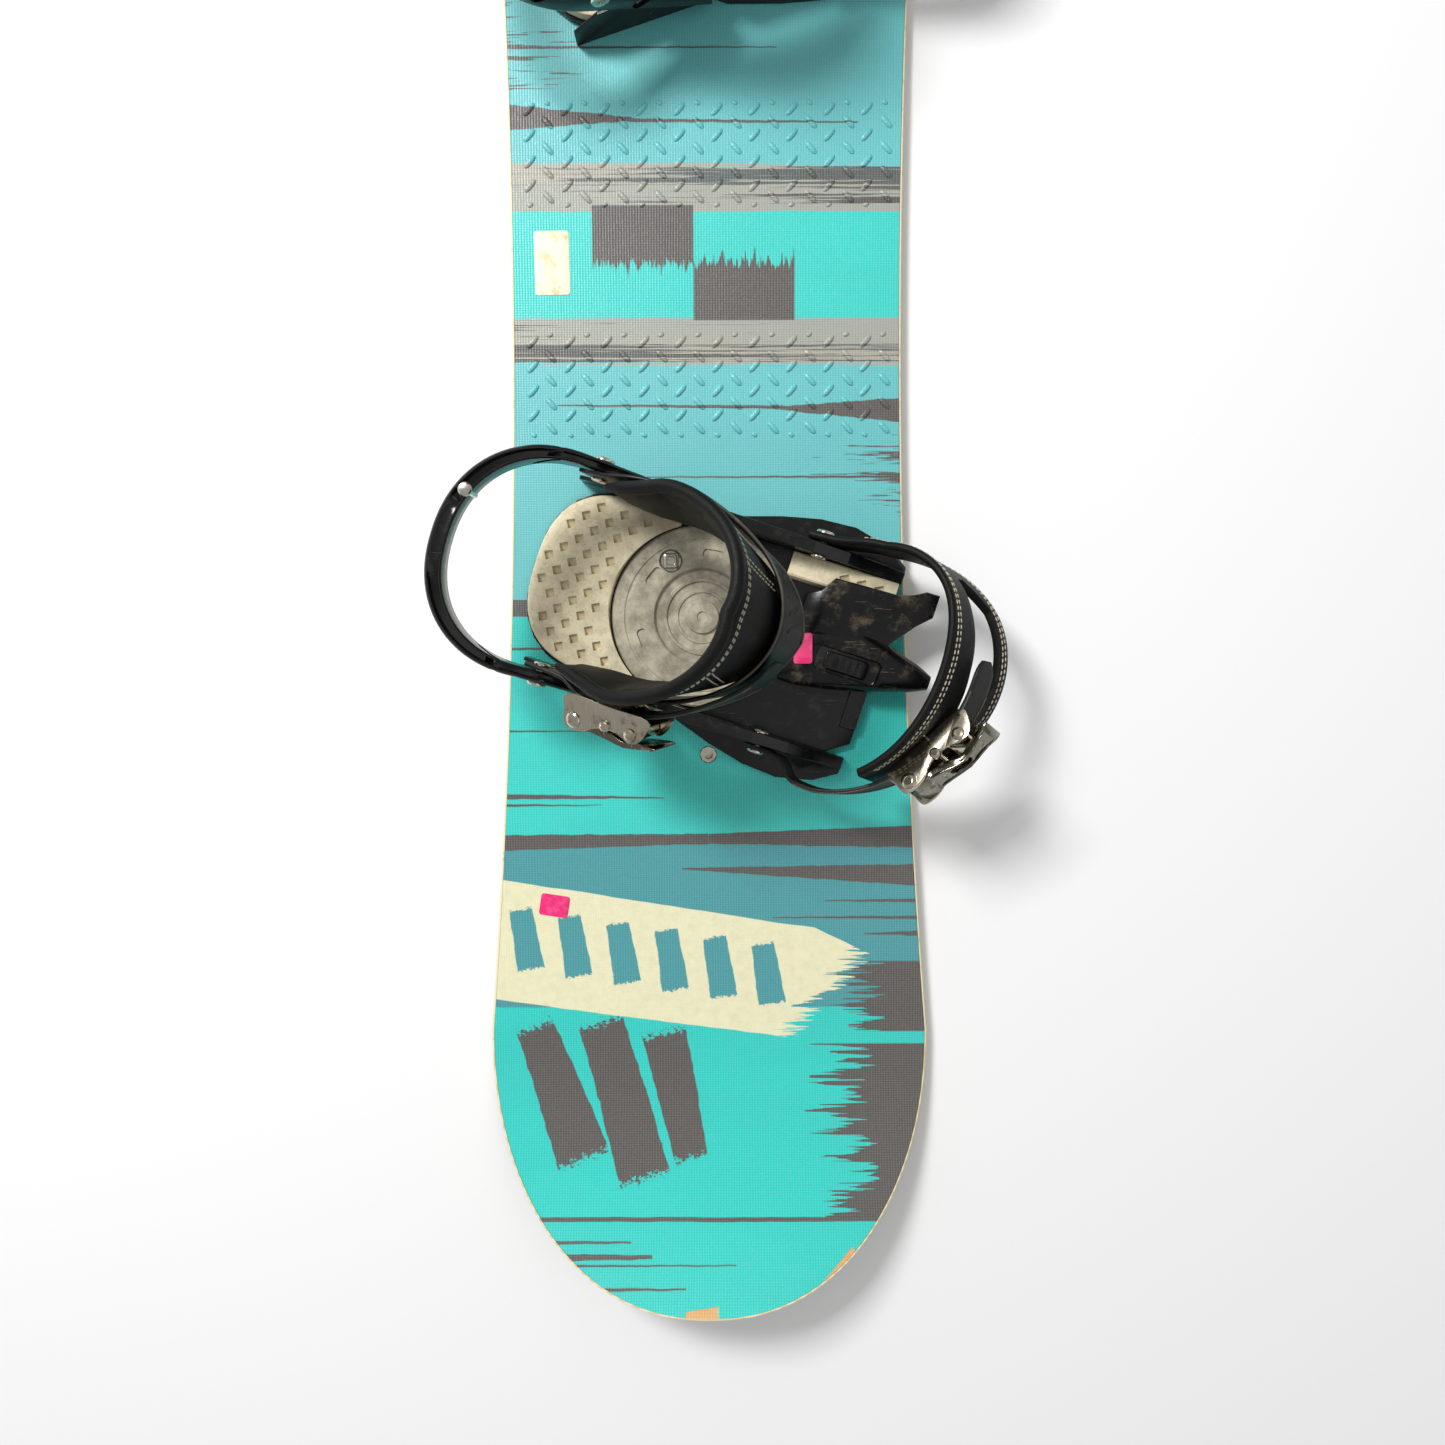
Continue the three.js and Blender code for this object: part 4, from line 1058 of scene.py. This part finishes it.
def heel_hoop():
    path = hoop_stations()
    rings = []
    for i, (u, v, z, bend) in enumerate(path):
        before, after = path[max(0, i - 2)], path[min(len(path) - 1, i + 2)]
        along = Vector((after[0] - before[0], after[1] - before[1], 0)).normalized()
        out = -Vector((-along.y, along.x, 0))
        height = lerp(20, 16, bend) / 2
        thick = lerp(6, 8.4, bend) / 2
        share = i / (len(path) - 1)
        ends = smooth(min(share, 1 - share), 0.1, 0.2)
        middle = smooth(abs(share - 0.5), 0.05, 0.11)
        groove = 5.0 * ends * middle
        ring = [(thick, -height + 2), (thick, 0), (thick, height - 2), (thick - 0.5, height - 0.6),
                (thick - 1.3, height), (thick - 2.0, height - 0.3), (thick - 2.5, height - 0.4 - groove),
                (1.4 - thick, height - 0.8 - groove), (1.1 - thick, height - 0.7),
                (0.6 - thick, height - 0.8), (0.1 - thick, height - 1.6), (-thick, height - 3),
                (-thick, 0), (-thick, -height + 2),
                (0.6 - thick, -height + 0.6), (2 - thick, -height), (thick - 2, -height),
                (thick - 0.6, -height + 0.6)]
        rings.append([Vector((u, v, z + b)) + out * a for a, b in ring])
    body = mesh_from(*loft(rings), sharp=50)
    drills = [rod(pivot(ANKLE), ACROSS, -80, 80, PIVOT_BORE)]
    slots = []
    for u, z, length, high in ((-46, 40.8, 18, 5), (-96, 66, 15, 4)):
        a = math.radians(25)
        ring = rounded(length / 2, high / 2, high / 2 - 0.1, 6)
        slots.append(loft([[(u + x * math.cos(a) - y * math.sin(a), v, z + x * math.sin(a) + y * math.cos(a))
                            for x, y in ring] for v in (-80, 80)]))
    body = cut(body, mesh_from(*joined(drills + slots)))
    pegs = [rod((-26, 0, 27), (0, side, 0), 50.6, 55, 3.5, 20) for side in (-1, 1)]
    return shaded(cut(body, mesh_from(*joined(pegs)), "UNION"), 50)


def pivot_screw(s, side, near, far):
    """A pan-head screw and its barrel nut, with a driver recess."""
    head = lathe([(0, near - 1.5), (3.6, near - 1.5), (4.3, near - 1), (4.3, near - 0.4),
                  (2.3, near - 0.4), (2.3, far + 0.4), (5.1, far + 0.4), (5.1, far + 1),
                  (4.6, far + 1.7), (3.2, far + 2.1), (1.8, far + 2.1), (1.6, far + 1.2),
                  (0, far + 1.1)], pivot(s), (0, side, 0), 36)
    return mesh_from(*head)


# ---------------------------------------------------------------- ankle strap
PAD_TURNS = (-44, 218)
PAD_FACES = (0.7, 6.1)  # inner and outer face, out from the strap's path
SHELL_FACES = (8.4, 10.3)
PUFF = dict(voxel_mm=3.2, pressure=4.0, cap_mm=1.1)


def ankle_pad():
    """The padded panel over the ankle, swollen by cloth pressure."""
    rings = strap_band(ANKLE, turns(*PAD_TURNS, 4), lambda t: (-0.97, 0.93), lambda t: PAD_FACES, 2.4)
    return puffed(mesh_from(*rings, sharp=80), **PUFF)


def rolled_edge():
    """The thick soft roll along the heel-side rim of the ankle pad."""
    points = [on_strap(ANKLE, t, 1.0, 3.6) - strap_frame(ANKLE, t)[2] * 1.6 for t in turns(*PAD_TURNS, 3)]
    count = len(points) - 1
    return mesh_from(*tube(points, lambda i: lerp(1.6, 3.5, smooth(min(i, count - i), 0, 7)), 14), sharp=80)


def ankle_trim(surface):
    """Double stitching along the roll, and the five pairs that cross the panel."""
    def out_at(p):
        best = min(turns(-50, 225, 5), key=lambda t: (strap_point(ANKLE, t) - p).length)
        return strap_frame(ANKLE, best)[3]

    parts = []
    for share in (0.74, 0.69):
        line = [on_strap(ANKLE, t, share, 7) for t in turns(-30, 208, 3)]
        parts += seam(surface, line, out_at, width=0.8, height=0.4)
    for turn in (38, 62, 122, 146, 166):
        for shift in (-1.6, 1.6):
            line = [on_strap(ANKLE, turn + shift + 7 * s, lerp(0.62, -0.42, s), 7)
                    for s in (k / 10 for k in range(11))]
            parts += seam(surface, line, out_at, width=0.8, height=0.4)
    return mesh_from(*joined(parts), sharp=80)


def shell_edges(turn):
    return -1.08, lerp(1, -0.3, smooth(turn, -30, 60))


def ankle_shell():
    band = strap_band(ANKLE, turns(-70, 194, 3), shell_edges, lambda t: SHELL_FACES, 0.8, 10)
    drill = rod(pivot(ANKLE), ACROSS, 20, 80, PIVOT_BORE)
    return shaded(cut(mesh_from(*band), mesh_from(*drill)), 50)


def shell_piping():
    """The light bead along the shell's upper edge, and a thinner one along its lower edge."""
    top = [on_strap(ANKLE, t, shell_edges(t)[1] + 0.02, 10.0) for t in turns(8, 193, 3)]
    low = [on_strap(ANKLE, t, -1.06, 10.2) for t in turns(-8, 193, 3)]
    return mesh_from(*joined([tube(top, 0.75), tube(low, 0.6)]), sharp=80)


def shell_ribs():
    """Plain raised flashes moulded on the shell's toe side."""
    parts = []
    for turn in (52, 60, 68, 76, 84):
        line = [on_strap(ANKLE, turn + 5 * s, lerp(-0.9, -0.5, s), 10.32) for s in (0, 0.5, 1)]
        out = strap_frame(ANKLE, turn)[3]
        parts.append(capsule(line[0], line[2], out, 3.0, 0.45))
    return mesh_from(*joined(parts), sharp=80)


# ---------------------------------------------------------------- ladders
# Strap, faces at rest on it, faces where the buckle lifts it, turn of the tip, shift across
ANKLE_LADDER = (ANKLE, (8.4, 10.6), (13.5, 15.5), 102, -0.5)
TOE_LADDER = (TOE, (0.2, 2.4), (7.4, 9.4), 80, 0)


def ladder_middle(s, turn, shift):
    return shift * smooth(-turn, 24 - s["buckle"], 60 - s["buckle"])


def ladder_half(turn, tip):
    tapered = lerp(7.2, 6.9, smooth(turn, 200, 230))
    return tapered * math.sqrt(clamp(1 - clamp((tip + 9 - turn) / 10) ** 2, 0.12, 1))


def ladder_lift(turn, layers, lifted):
    share = smooth(-turn, -216, -196)
    return lerp(layers[0], lifted[0], share), lerp(layers[1], lifted[1], share)


def ladder(s, layers, lifted, tip, shift):
    """The ribbed strap that feeds through the buckle: smooth rounded tip, chevron teeth behind."""
    def edges(turn):
        half, width = ladder_half(turn, tip), strap_width(s, turn)
        middle = ladder_middle(s, turn, shift)
        return middle - half / width, middle + half / width

    band = strap_band(s, turns(tip, 249, 2), edges, lambda t: ladder_lift(t, layers, lifted), 0.6, 6)
    parts = [band]
    stations = turns(tip + 22, 200, 2)
    line = [on_strap(s, t, ladder_middle(s, t, shift), ladder_lift(t, layers, lifted)[1]) for t in stations]
    marks, done = [], 0.0
    for a, b, t in zip(line, line[1:], stations):
        done += (b - a).length
        if done >= 3.6:
            marks.append(t)
            done = 0.0
    for t in marks:
        at, along, across, out = strap_frame(s, t)
        top = ladder_lift(t, layers, lifted)[1] - 0.1
        centre = at + across * ladder_middle(s, t, shift) * strap_width(s, t) + out * top
        for way in (-1, 1):
            rim = centre + across * way * 5.5 + along * 1.6
            parts.append(capsule(centre - along * 1.2, rim, out, 1.9, 0.95))
    mesh = mesh_from(*joined(parts), sharp=45)
    drill = rod(pivot(s), (0, -1, 0), 20, 80, PIVOT_BORE)
    return shaded(cut(mesh, mesh_from(*drill)), 45)


def ladder_rims(s, layers, lifted, tip, shift):
    """The scalloped light rims of a ladder."""
    parts = []
    for way in (-1, 1):
        points = []
        for t in turns(tip + 14, 196, 1.2):
            wave = 0.25 * math.sin(t * 2.4)
            share = ladder_middle(s, t, shift) + way * (ladder_half(t, tip) - 0.5 + wave) / strap_width(s, t)
            points.append(on_strap(s, t, share, ladder_lift(t, layers, lifted)[1]))
        parts.append(tube(points, 0.5, 6))
    return mesh_from(*joined(parts), sharp=80)


# ---------------------------------------------------------------- toe strap
def window_edges(turn):
    share = clamp(min(turn - 30, 112 - turn) / 26)
    return -0.62 * share - 0.06, 0.1 + 0.12 * share


def toe_strap():
    blank = strap_band(TOE, turns(-70, 156, 3), lambda t: (-1, 1), lambda t: (0.1, 4.4), 1.9, 10)
    window = strap_band(TOE, turns(38, 104, 3), window_edges, lambda t: (-2, 8), 0.4, 4)
    drill = rod(pivot(TOE), ACROSS, 20, 80, PIVOT_BORE)
    body = cut(mesh_from(*blank), mesh_from(*joined([window, drill])))
    return shaded(bevelled(body, 0.7, 2, 40), 50)


def toe_trim(surface):
    def out_at(p):
        best = min(turns(-60, 160, 5), key=lambda t: (strap_point(TOE, t) - p).length)
        return strap_frame(TOE, best)[3]

    parts = []
    for share in (0.84, 0.74, -0.86, -0.76):
        parts += seam(surface, [on_strap(TOE, t, share, 5) for t in turns(-20, 150, 3)], out_at,
                      step=3.2, width=0.8, height=0.4)
    for turn, low, high in ((14, -0.6, 0.6), (20, -0.6, 0.6), (122, -0.6, 0.6), (127, -0.6, 0.6)):
        parts += seam(surface, [on_strap(TOE, turn, lerp(low, high, k / 8), 5) for k in range(9)], out_at,
                      width=0.8, height=0.4)
    return mesh_from(*joined(parts), sharp=80)


# ---------------------------------------------------------------- ratchet buckles
LEVER_PIN, RELEASE_PIN = (-18, 12.5), (16, 10.2)
BUCKLE_PINS = ((LEVER_PIN, 4.2), ((1, 10.2), 3.0), (RELEASE_PIN, 3.4))  # place, head radius


def buckle_place(s):
    at, along, across, out = strap_frame(s, s["buckle"])
    place = Matrix.Identity(4)
    for column, axis in enumerate((along, across, out)):
        place.col[column] = (*axis, 0)
    place.col[3] = (*((at + out * s["foot"]) * MM), 1)
    return place


def plate_from(profile, half, soft=0.5):
    """An XZ profile in millimetres with a width along Y, bevelled all round."""
    body = loft([[(x, y, z) for x, z in profile] for y in (-half, half)])
    return bevelled(mesh_from(*body), soft, 2, 25, 40)


def curve_through(points, steps=6):
    """A closed Catmull-Rom outline through a few points."""
    result = []
    count = len(points)
    for i in range(count):
        p0, p1, p2, p3 = (Vector(points[(i + k) % count]) for k in (-1, 0, 1, 2))
        for step in range(steps):
            t = step / steps
            q = 0.5 * (2 * p1 + (p2 - p0) * t + (2 * p0 - 5 * p1 + 4 * p2 - p3) * t * t
                       + (3 * p1 - p0 - 3 * p2 + p3) * t ** 3)
            result.append((q.x, q.y))
    return result


def buckle_frame():
    """Two scalloped side walls on a foot, with three domed pins."""
    wall = [(-24, 0.3), (0, 0), (24, 0.3), (24.2, 8), (20, 13.6), (15, 14.4), (9, 12.2), (2, 11.6),
            (-5, 13.2), (-11, 16.6), (-18, 17.6), (-23.4, 16), (-24.4, 10)]
    parts = []
    for side in (-1, 1):
        y = side * 11.45
        ring = curve_through(wall, 4)
        parts.append(loft([[(x * s, y + d, 6 + (z - 6) * s) for x, z in ring]
                           for s, d in ((0.93, -0.75), (1, -0.45), (1, 0.45), (0.93, 0.75))]))
        for (x, z), size in BUCKLE_PINS:
            parts.append(lathe([(0, 11), (size, 11), (size, 12.6), (size * 0.9, 13.2), (size * 0.55, 13.6),
                                (size * 0.5, 13.3), (0, 13.3)], (x, 0, z), (0, side, 0), 28))
    foot = loft([[(x, y, z) for x, y in rounded(8, 12, 1, 2)] for z in (0.05, 1.15)])
    pins = [rod((x, 0, z), ACROSS, -11.6, 11.6, 1.95, 20) for (x, z), _ in BUCKLE_PINS]
    return mesh_from(*joined(parts + [foot] + pins), sharp=40)


def buckle_lever():
    """The wavy ratchet lever, thicker at its hinge, with raised rails along its back."""
    x, z = LEVER_PIN
    top = [(x - 3.6, z + 0.5), (x - 1, z + 3.7), (x + 5, z + 4.6), (x + 11, z + 4.4), (x + 19, z + 6),
           (x + 27, z + 7.2), (x + 36, z + 5), (x + 46.6, z + 2.8), (x + 47, z + 1.2), (x + 36, z + 2.4),
           (x + 27, z + 4.5), (x + 19, z + 1.8), (x + 10, z - 0.5), (x + 4, z - 2.4), (x - 1, z - 3.4),
           (x - 3.4, z - 1.8)]
    body = plate_from(curve_through(top, 3), 9.9, 0.5)
    hole = rod((x, 0, z), ACROSS, -20, 20, BUCKLE_BORE)
    body = cut(body, mesh_from(*hole))
    waist = []
    for side in (-1, 1):
        ring = [(x + 13, side * 9.2), (x + 20, side * 6.9), (x + 29, side * 6.2), (x + 38, side * 7.4),
                (x + 45, side * 9.8), (x + 60, side * 12), (x + 60, side * 20), (x, side * 20),
                (x + 4, side * 9.95)]
        waist.append(loft([[(a, b, h) for a, b in ring] for h in (0, 30)]))
    window = loft([[(x + 24 + a, b, h) for a, b in rounded(6.4, 2.7, 2, 4)] for h in (0, 30)])
    body = cut(body, mesh_from(*joined(waist + [window])))
    rail = ((9, 7.4, 4.7), (15, 6.6, 5.2), (21, 5.4, 6.5), (27, 4.8, 7.3), (33, 5.1, 6.1), (39, 6.0, 4.5),
            (44, 7.0, 3.4))
    rails = [tube([Vector((x + u, side * v, z + h)) for u, v, h in rail], 0.75) for side in (-1, 1)]
    return shaded(bevelled(mesh_joined(body, mesh_from(*joined(rails))), 0.25, 1, 50), 45)


def mesh_joined(*meshes):
    bm = bmesh.new()
    for mesh in meshes:
        bm.from_mesh(mesh)
    result = bpy.data.meshes.new("joined")
    bm.to_mesh(result)
    bm.free()
    return result


def release_tab():
    """The sprung pawl lever, a curved plate with the hole for its pin."""
    x, z = RELEASE_PIN
    side = [(x + 3.2, z + 0.4), (x + 2.2, z + 3.0), (x - 1, z + 3.5), (x - 4, z + 2.8), (x - 7, z + 1),
            (x - 9.4, z - 1.4), (x - 9.3, z - 3.4), (x - 7.2, z - 2.8), (x - 3.2, z - 2.6), (x, z - 3.4),
            (x + 2.4, z - 2.6)]
    body = plate_from(curve_through(side, 3), 9.9, 0.35)
    hole = rod((x, 0, z), ACROSS, -20, 20, BUCKLE_BORE)
    return shaded(cut(body, mesh_from(*hole)), 40)


def build_bindings():
    on_bindings("dimpled_footbed", heel_footbed(), "binding", FOAM, ["heel_footbed"])
    on_bindings("toe_strip", toe_footbed(), "binding", FOAM, ["toe_footbed"])
    on_bindings("hoop", heel_hoop(), "binding", BLACK_PLASTIC, ["heel_hoop"])
    rivet = lathe([(0, 70), (2.1, 70), (2.1, 88.7), (3.4, 88.7), (3.4, 89.4), (2.7, 90.2), (1.2, 90.5),
                   (0, 90.5)], (-125, 22, 0), steps=28)
    on_bindings("rivet", mesh_from(*rivet), "binding", HARDWARE, ["hoop_rivet"])
    on_bindings("gas_ramp", toe_ramp(), "ramp", RAMP_PLASTIC, ["toe_ramp"])
    on_bindings("ramp_adjuster", ramp_adjuster(), "ramp", BLACK_PLASTIC)
    show("front_ramp_label", ramp_label(), "front_ramp", PINK_STICKER)
    for s, name, side, near, far in (
            (ANKLE, "ankle_inner", 1, 49.8, 58.8), (ANKLE, "ankle_outer", -1, 49.9, 58.8),
            (TOE, "toe_inner", 1, 50.3, 61.9), (TOE, "toe_outer", -1, 50.3, 59.8)):
        on_bindings(name + "_pan_screw", pivot_screw(s, side, near, far), "binding", HARDWARE,
                    [name + "_screw"])
    for prefix, side in SIDES:
        build_disc(prefix, side)

    pad = ankle_pad()
    roll = rolled_edge()
    for piece in on_bindings("ankle_pad", pad, "ankle", LEATHER, ["ankle_strap_pad"]):
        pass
    on_bindings("ankle_roll", roll, "ankle", LEATHER)
    on_bindings("ankle_stitching", ankle_trim(tree_of(pad)), "ankle", THREAD)
    on_bindings("ankle_shell", ankle_shell(), "ankle", STRAP_RUBBER, ["ankle_strap_shell"])
    on_bindings("shell_piping", shell_piping(), "ankle", PIPING)
    on_bindings("shell_flashes", shell_ribs(), "ankle", LADDER_RUBBER)
    for name, shape in (("ankle", ANKLE_LADDER), ("toe", TOE_LADDER)):
        on_bindings(name + "_ratchet_strap", ladder(*shape), name, LADDER_RUBBER,
                    [name + "_ladder"])
        on_bindings(name + "_strap_rims", ladder_rims(*shape), name, PIPING)
    cap = toe_strap()
    for piece in on_bindings("toe_cap", cap, "toe", LEATHER, ["toe_strap"]):
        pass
    on_bindings("toe_stitching", toe_trim(tree_of(cap)), "toe", THREAD)

    frame_mesh, lever, tab = buckle_frame(), buckle_lever(), release_tab()
    for s, name in ((ANKLE, "ankle"), (TOE, "toe")):
        for piece, mesh, body, tone, node in (
                ("ratchet_frame", frame_mesh, name, BUCKLE_METAL, "buckle_frame"),
                ("ratchet_lever", lever, name + "_lever", DARK_METAL, "buckle_lever"),
                ("ratchet_pawl", tab, name + "_release", BUCKLE_METAL, "release_tab")):
            placed = mesh.copy()
            placed.transform(buckle_place(s))
            on_bindings(name + "_" + piece, placed, body, tone, [name + "_" + node])


def carried_over():
    """CAD pieces whose shape stands, with softened edges and their own materials."""
    looks = {"wood_core": CORE, "insert_strip": HARDWARE, "baseplate": BLACK_PLASTIC}
    for name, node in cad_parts.items():
        for key, material in looks.items():
            if key in name:
                node.data.materials.clear()
                node.data.materials.append(material)
                if key == "baseplate":
                    weld = node.modifiers.new("weld", "WELD")
                    weld.merge_threshold = 1e-6
                    bevel = node.modifiers.new("bevel", "BEVEL")
                    bevel.width = 0.9 * MM
                    bevel.segments = 3
                    bevel.limit_method = "ANGLE"
                    bevel.angle_limit = math.radians(32)


# ---------------------------------------------------------------- stage
CAMERA_AT = (0.00804, -0.2036, 0.6229)  # metres
CAMERA_TILT, CAMERA_ROLL = -4.265, -0.171  # degrees from looking straight down
SENSOR_WIDTH, LENS = 36, 27.4
LIGHTS = (("key", (-0.9, 0.8, 1.4), 0.5, 34), ("fill", (0.9, -0.7, 1.6), 1.6, 4))  # place, size, power
SKY_STRENGTH = 0.4


def build_stage():
    bpy.ops.mesh.primitive_plane_add(size=8, location=(0, 0, -0.0004))
    floor = bpy.context.object
    floor.name = "floor"
    g = Graph("pale_floor", rough=0.9)
    g.colour((250, 250, 250))
    floor.data.materials.append(g.material)

    world = bpy.data.worlds.new("soft_sky")
    world.use_nodes = True
    world.node_tree.nodes["Background"].inputs[0].default_value = (1, 1, 1, 1)
    world.node_tree.nodes["Background"].inputs[1].default_value = SKY_STRENGTH
    bpy.context.scene.world = world
    for name, where, size, power in LIGHTS:
        light = bpy.data.lights.new(name, "AREA")
        light.size = size
        light.energy = power
        lamp = bpy.data.objects.new(name, light)
        lamp.location = where
        lamp.rotation_euler = (Vector((0, -0.2, 0)) - Vector(where)).to_track_quat("-Z", "Y").to_euler()
        bpy.context.scene.collection.objects.link(lamp)

    camera = bpy.data.cameras.new("camera")
    camera.sensor_width = SENSOR_WIDTH
    camera.lens = LENS
    camera.clip_start = 0.01
    eye = bpy.data.objects.new("camera", camera)
    tilt, roll = math.radians(CAMERA_TILT), math.radians(CAMERA_ROLL)
    eye.matrix_world = (Matrix.Translation(CAMERA_AT)
                        @ Matrix.Rotation(tilt, 4, "X") @ Matrix.Rotation(roll, 4, "Z"))
    bpy.context.scene.collection.objects.link(eye)
    bpy.context.scene.camera = eye
    bpy.context.scene.view_settings.view_transform = "Standard"


build_stage()
build_board()
carried_over()
build_bindings()
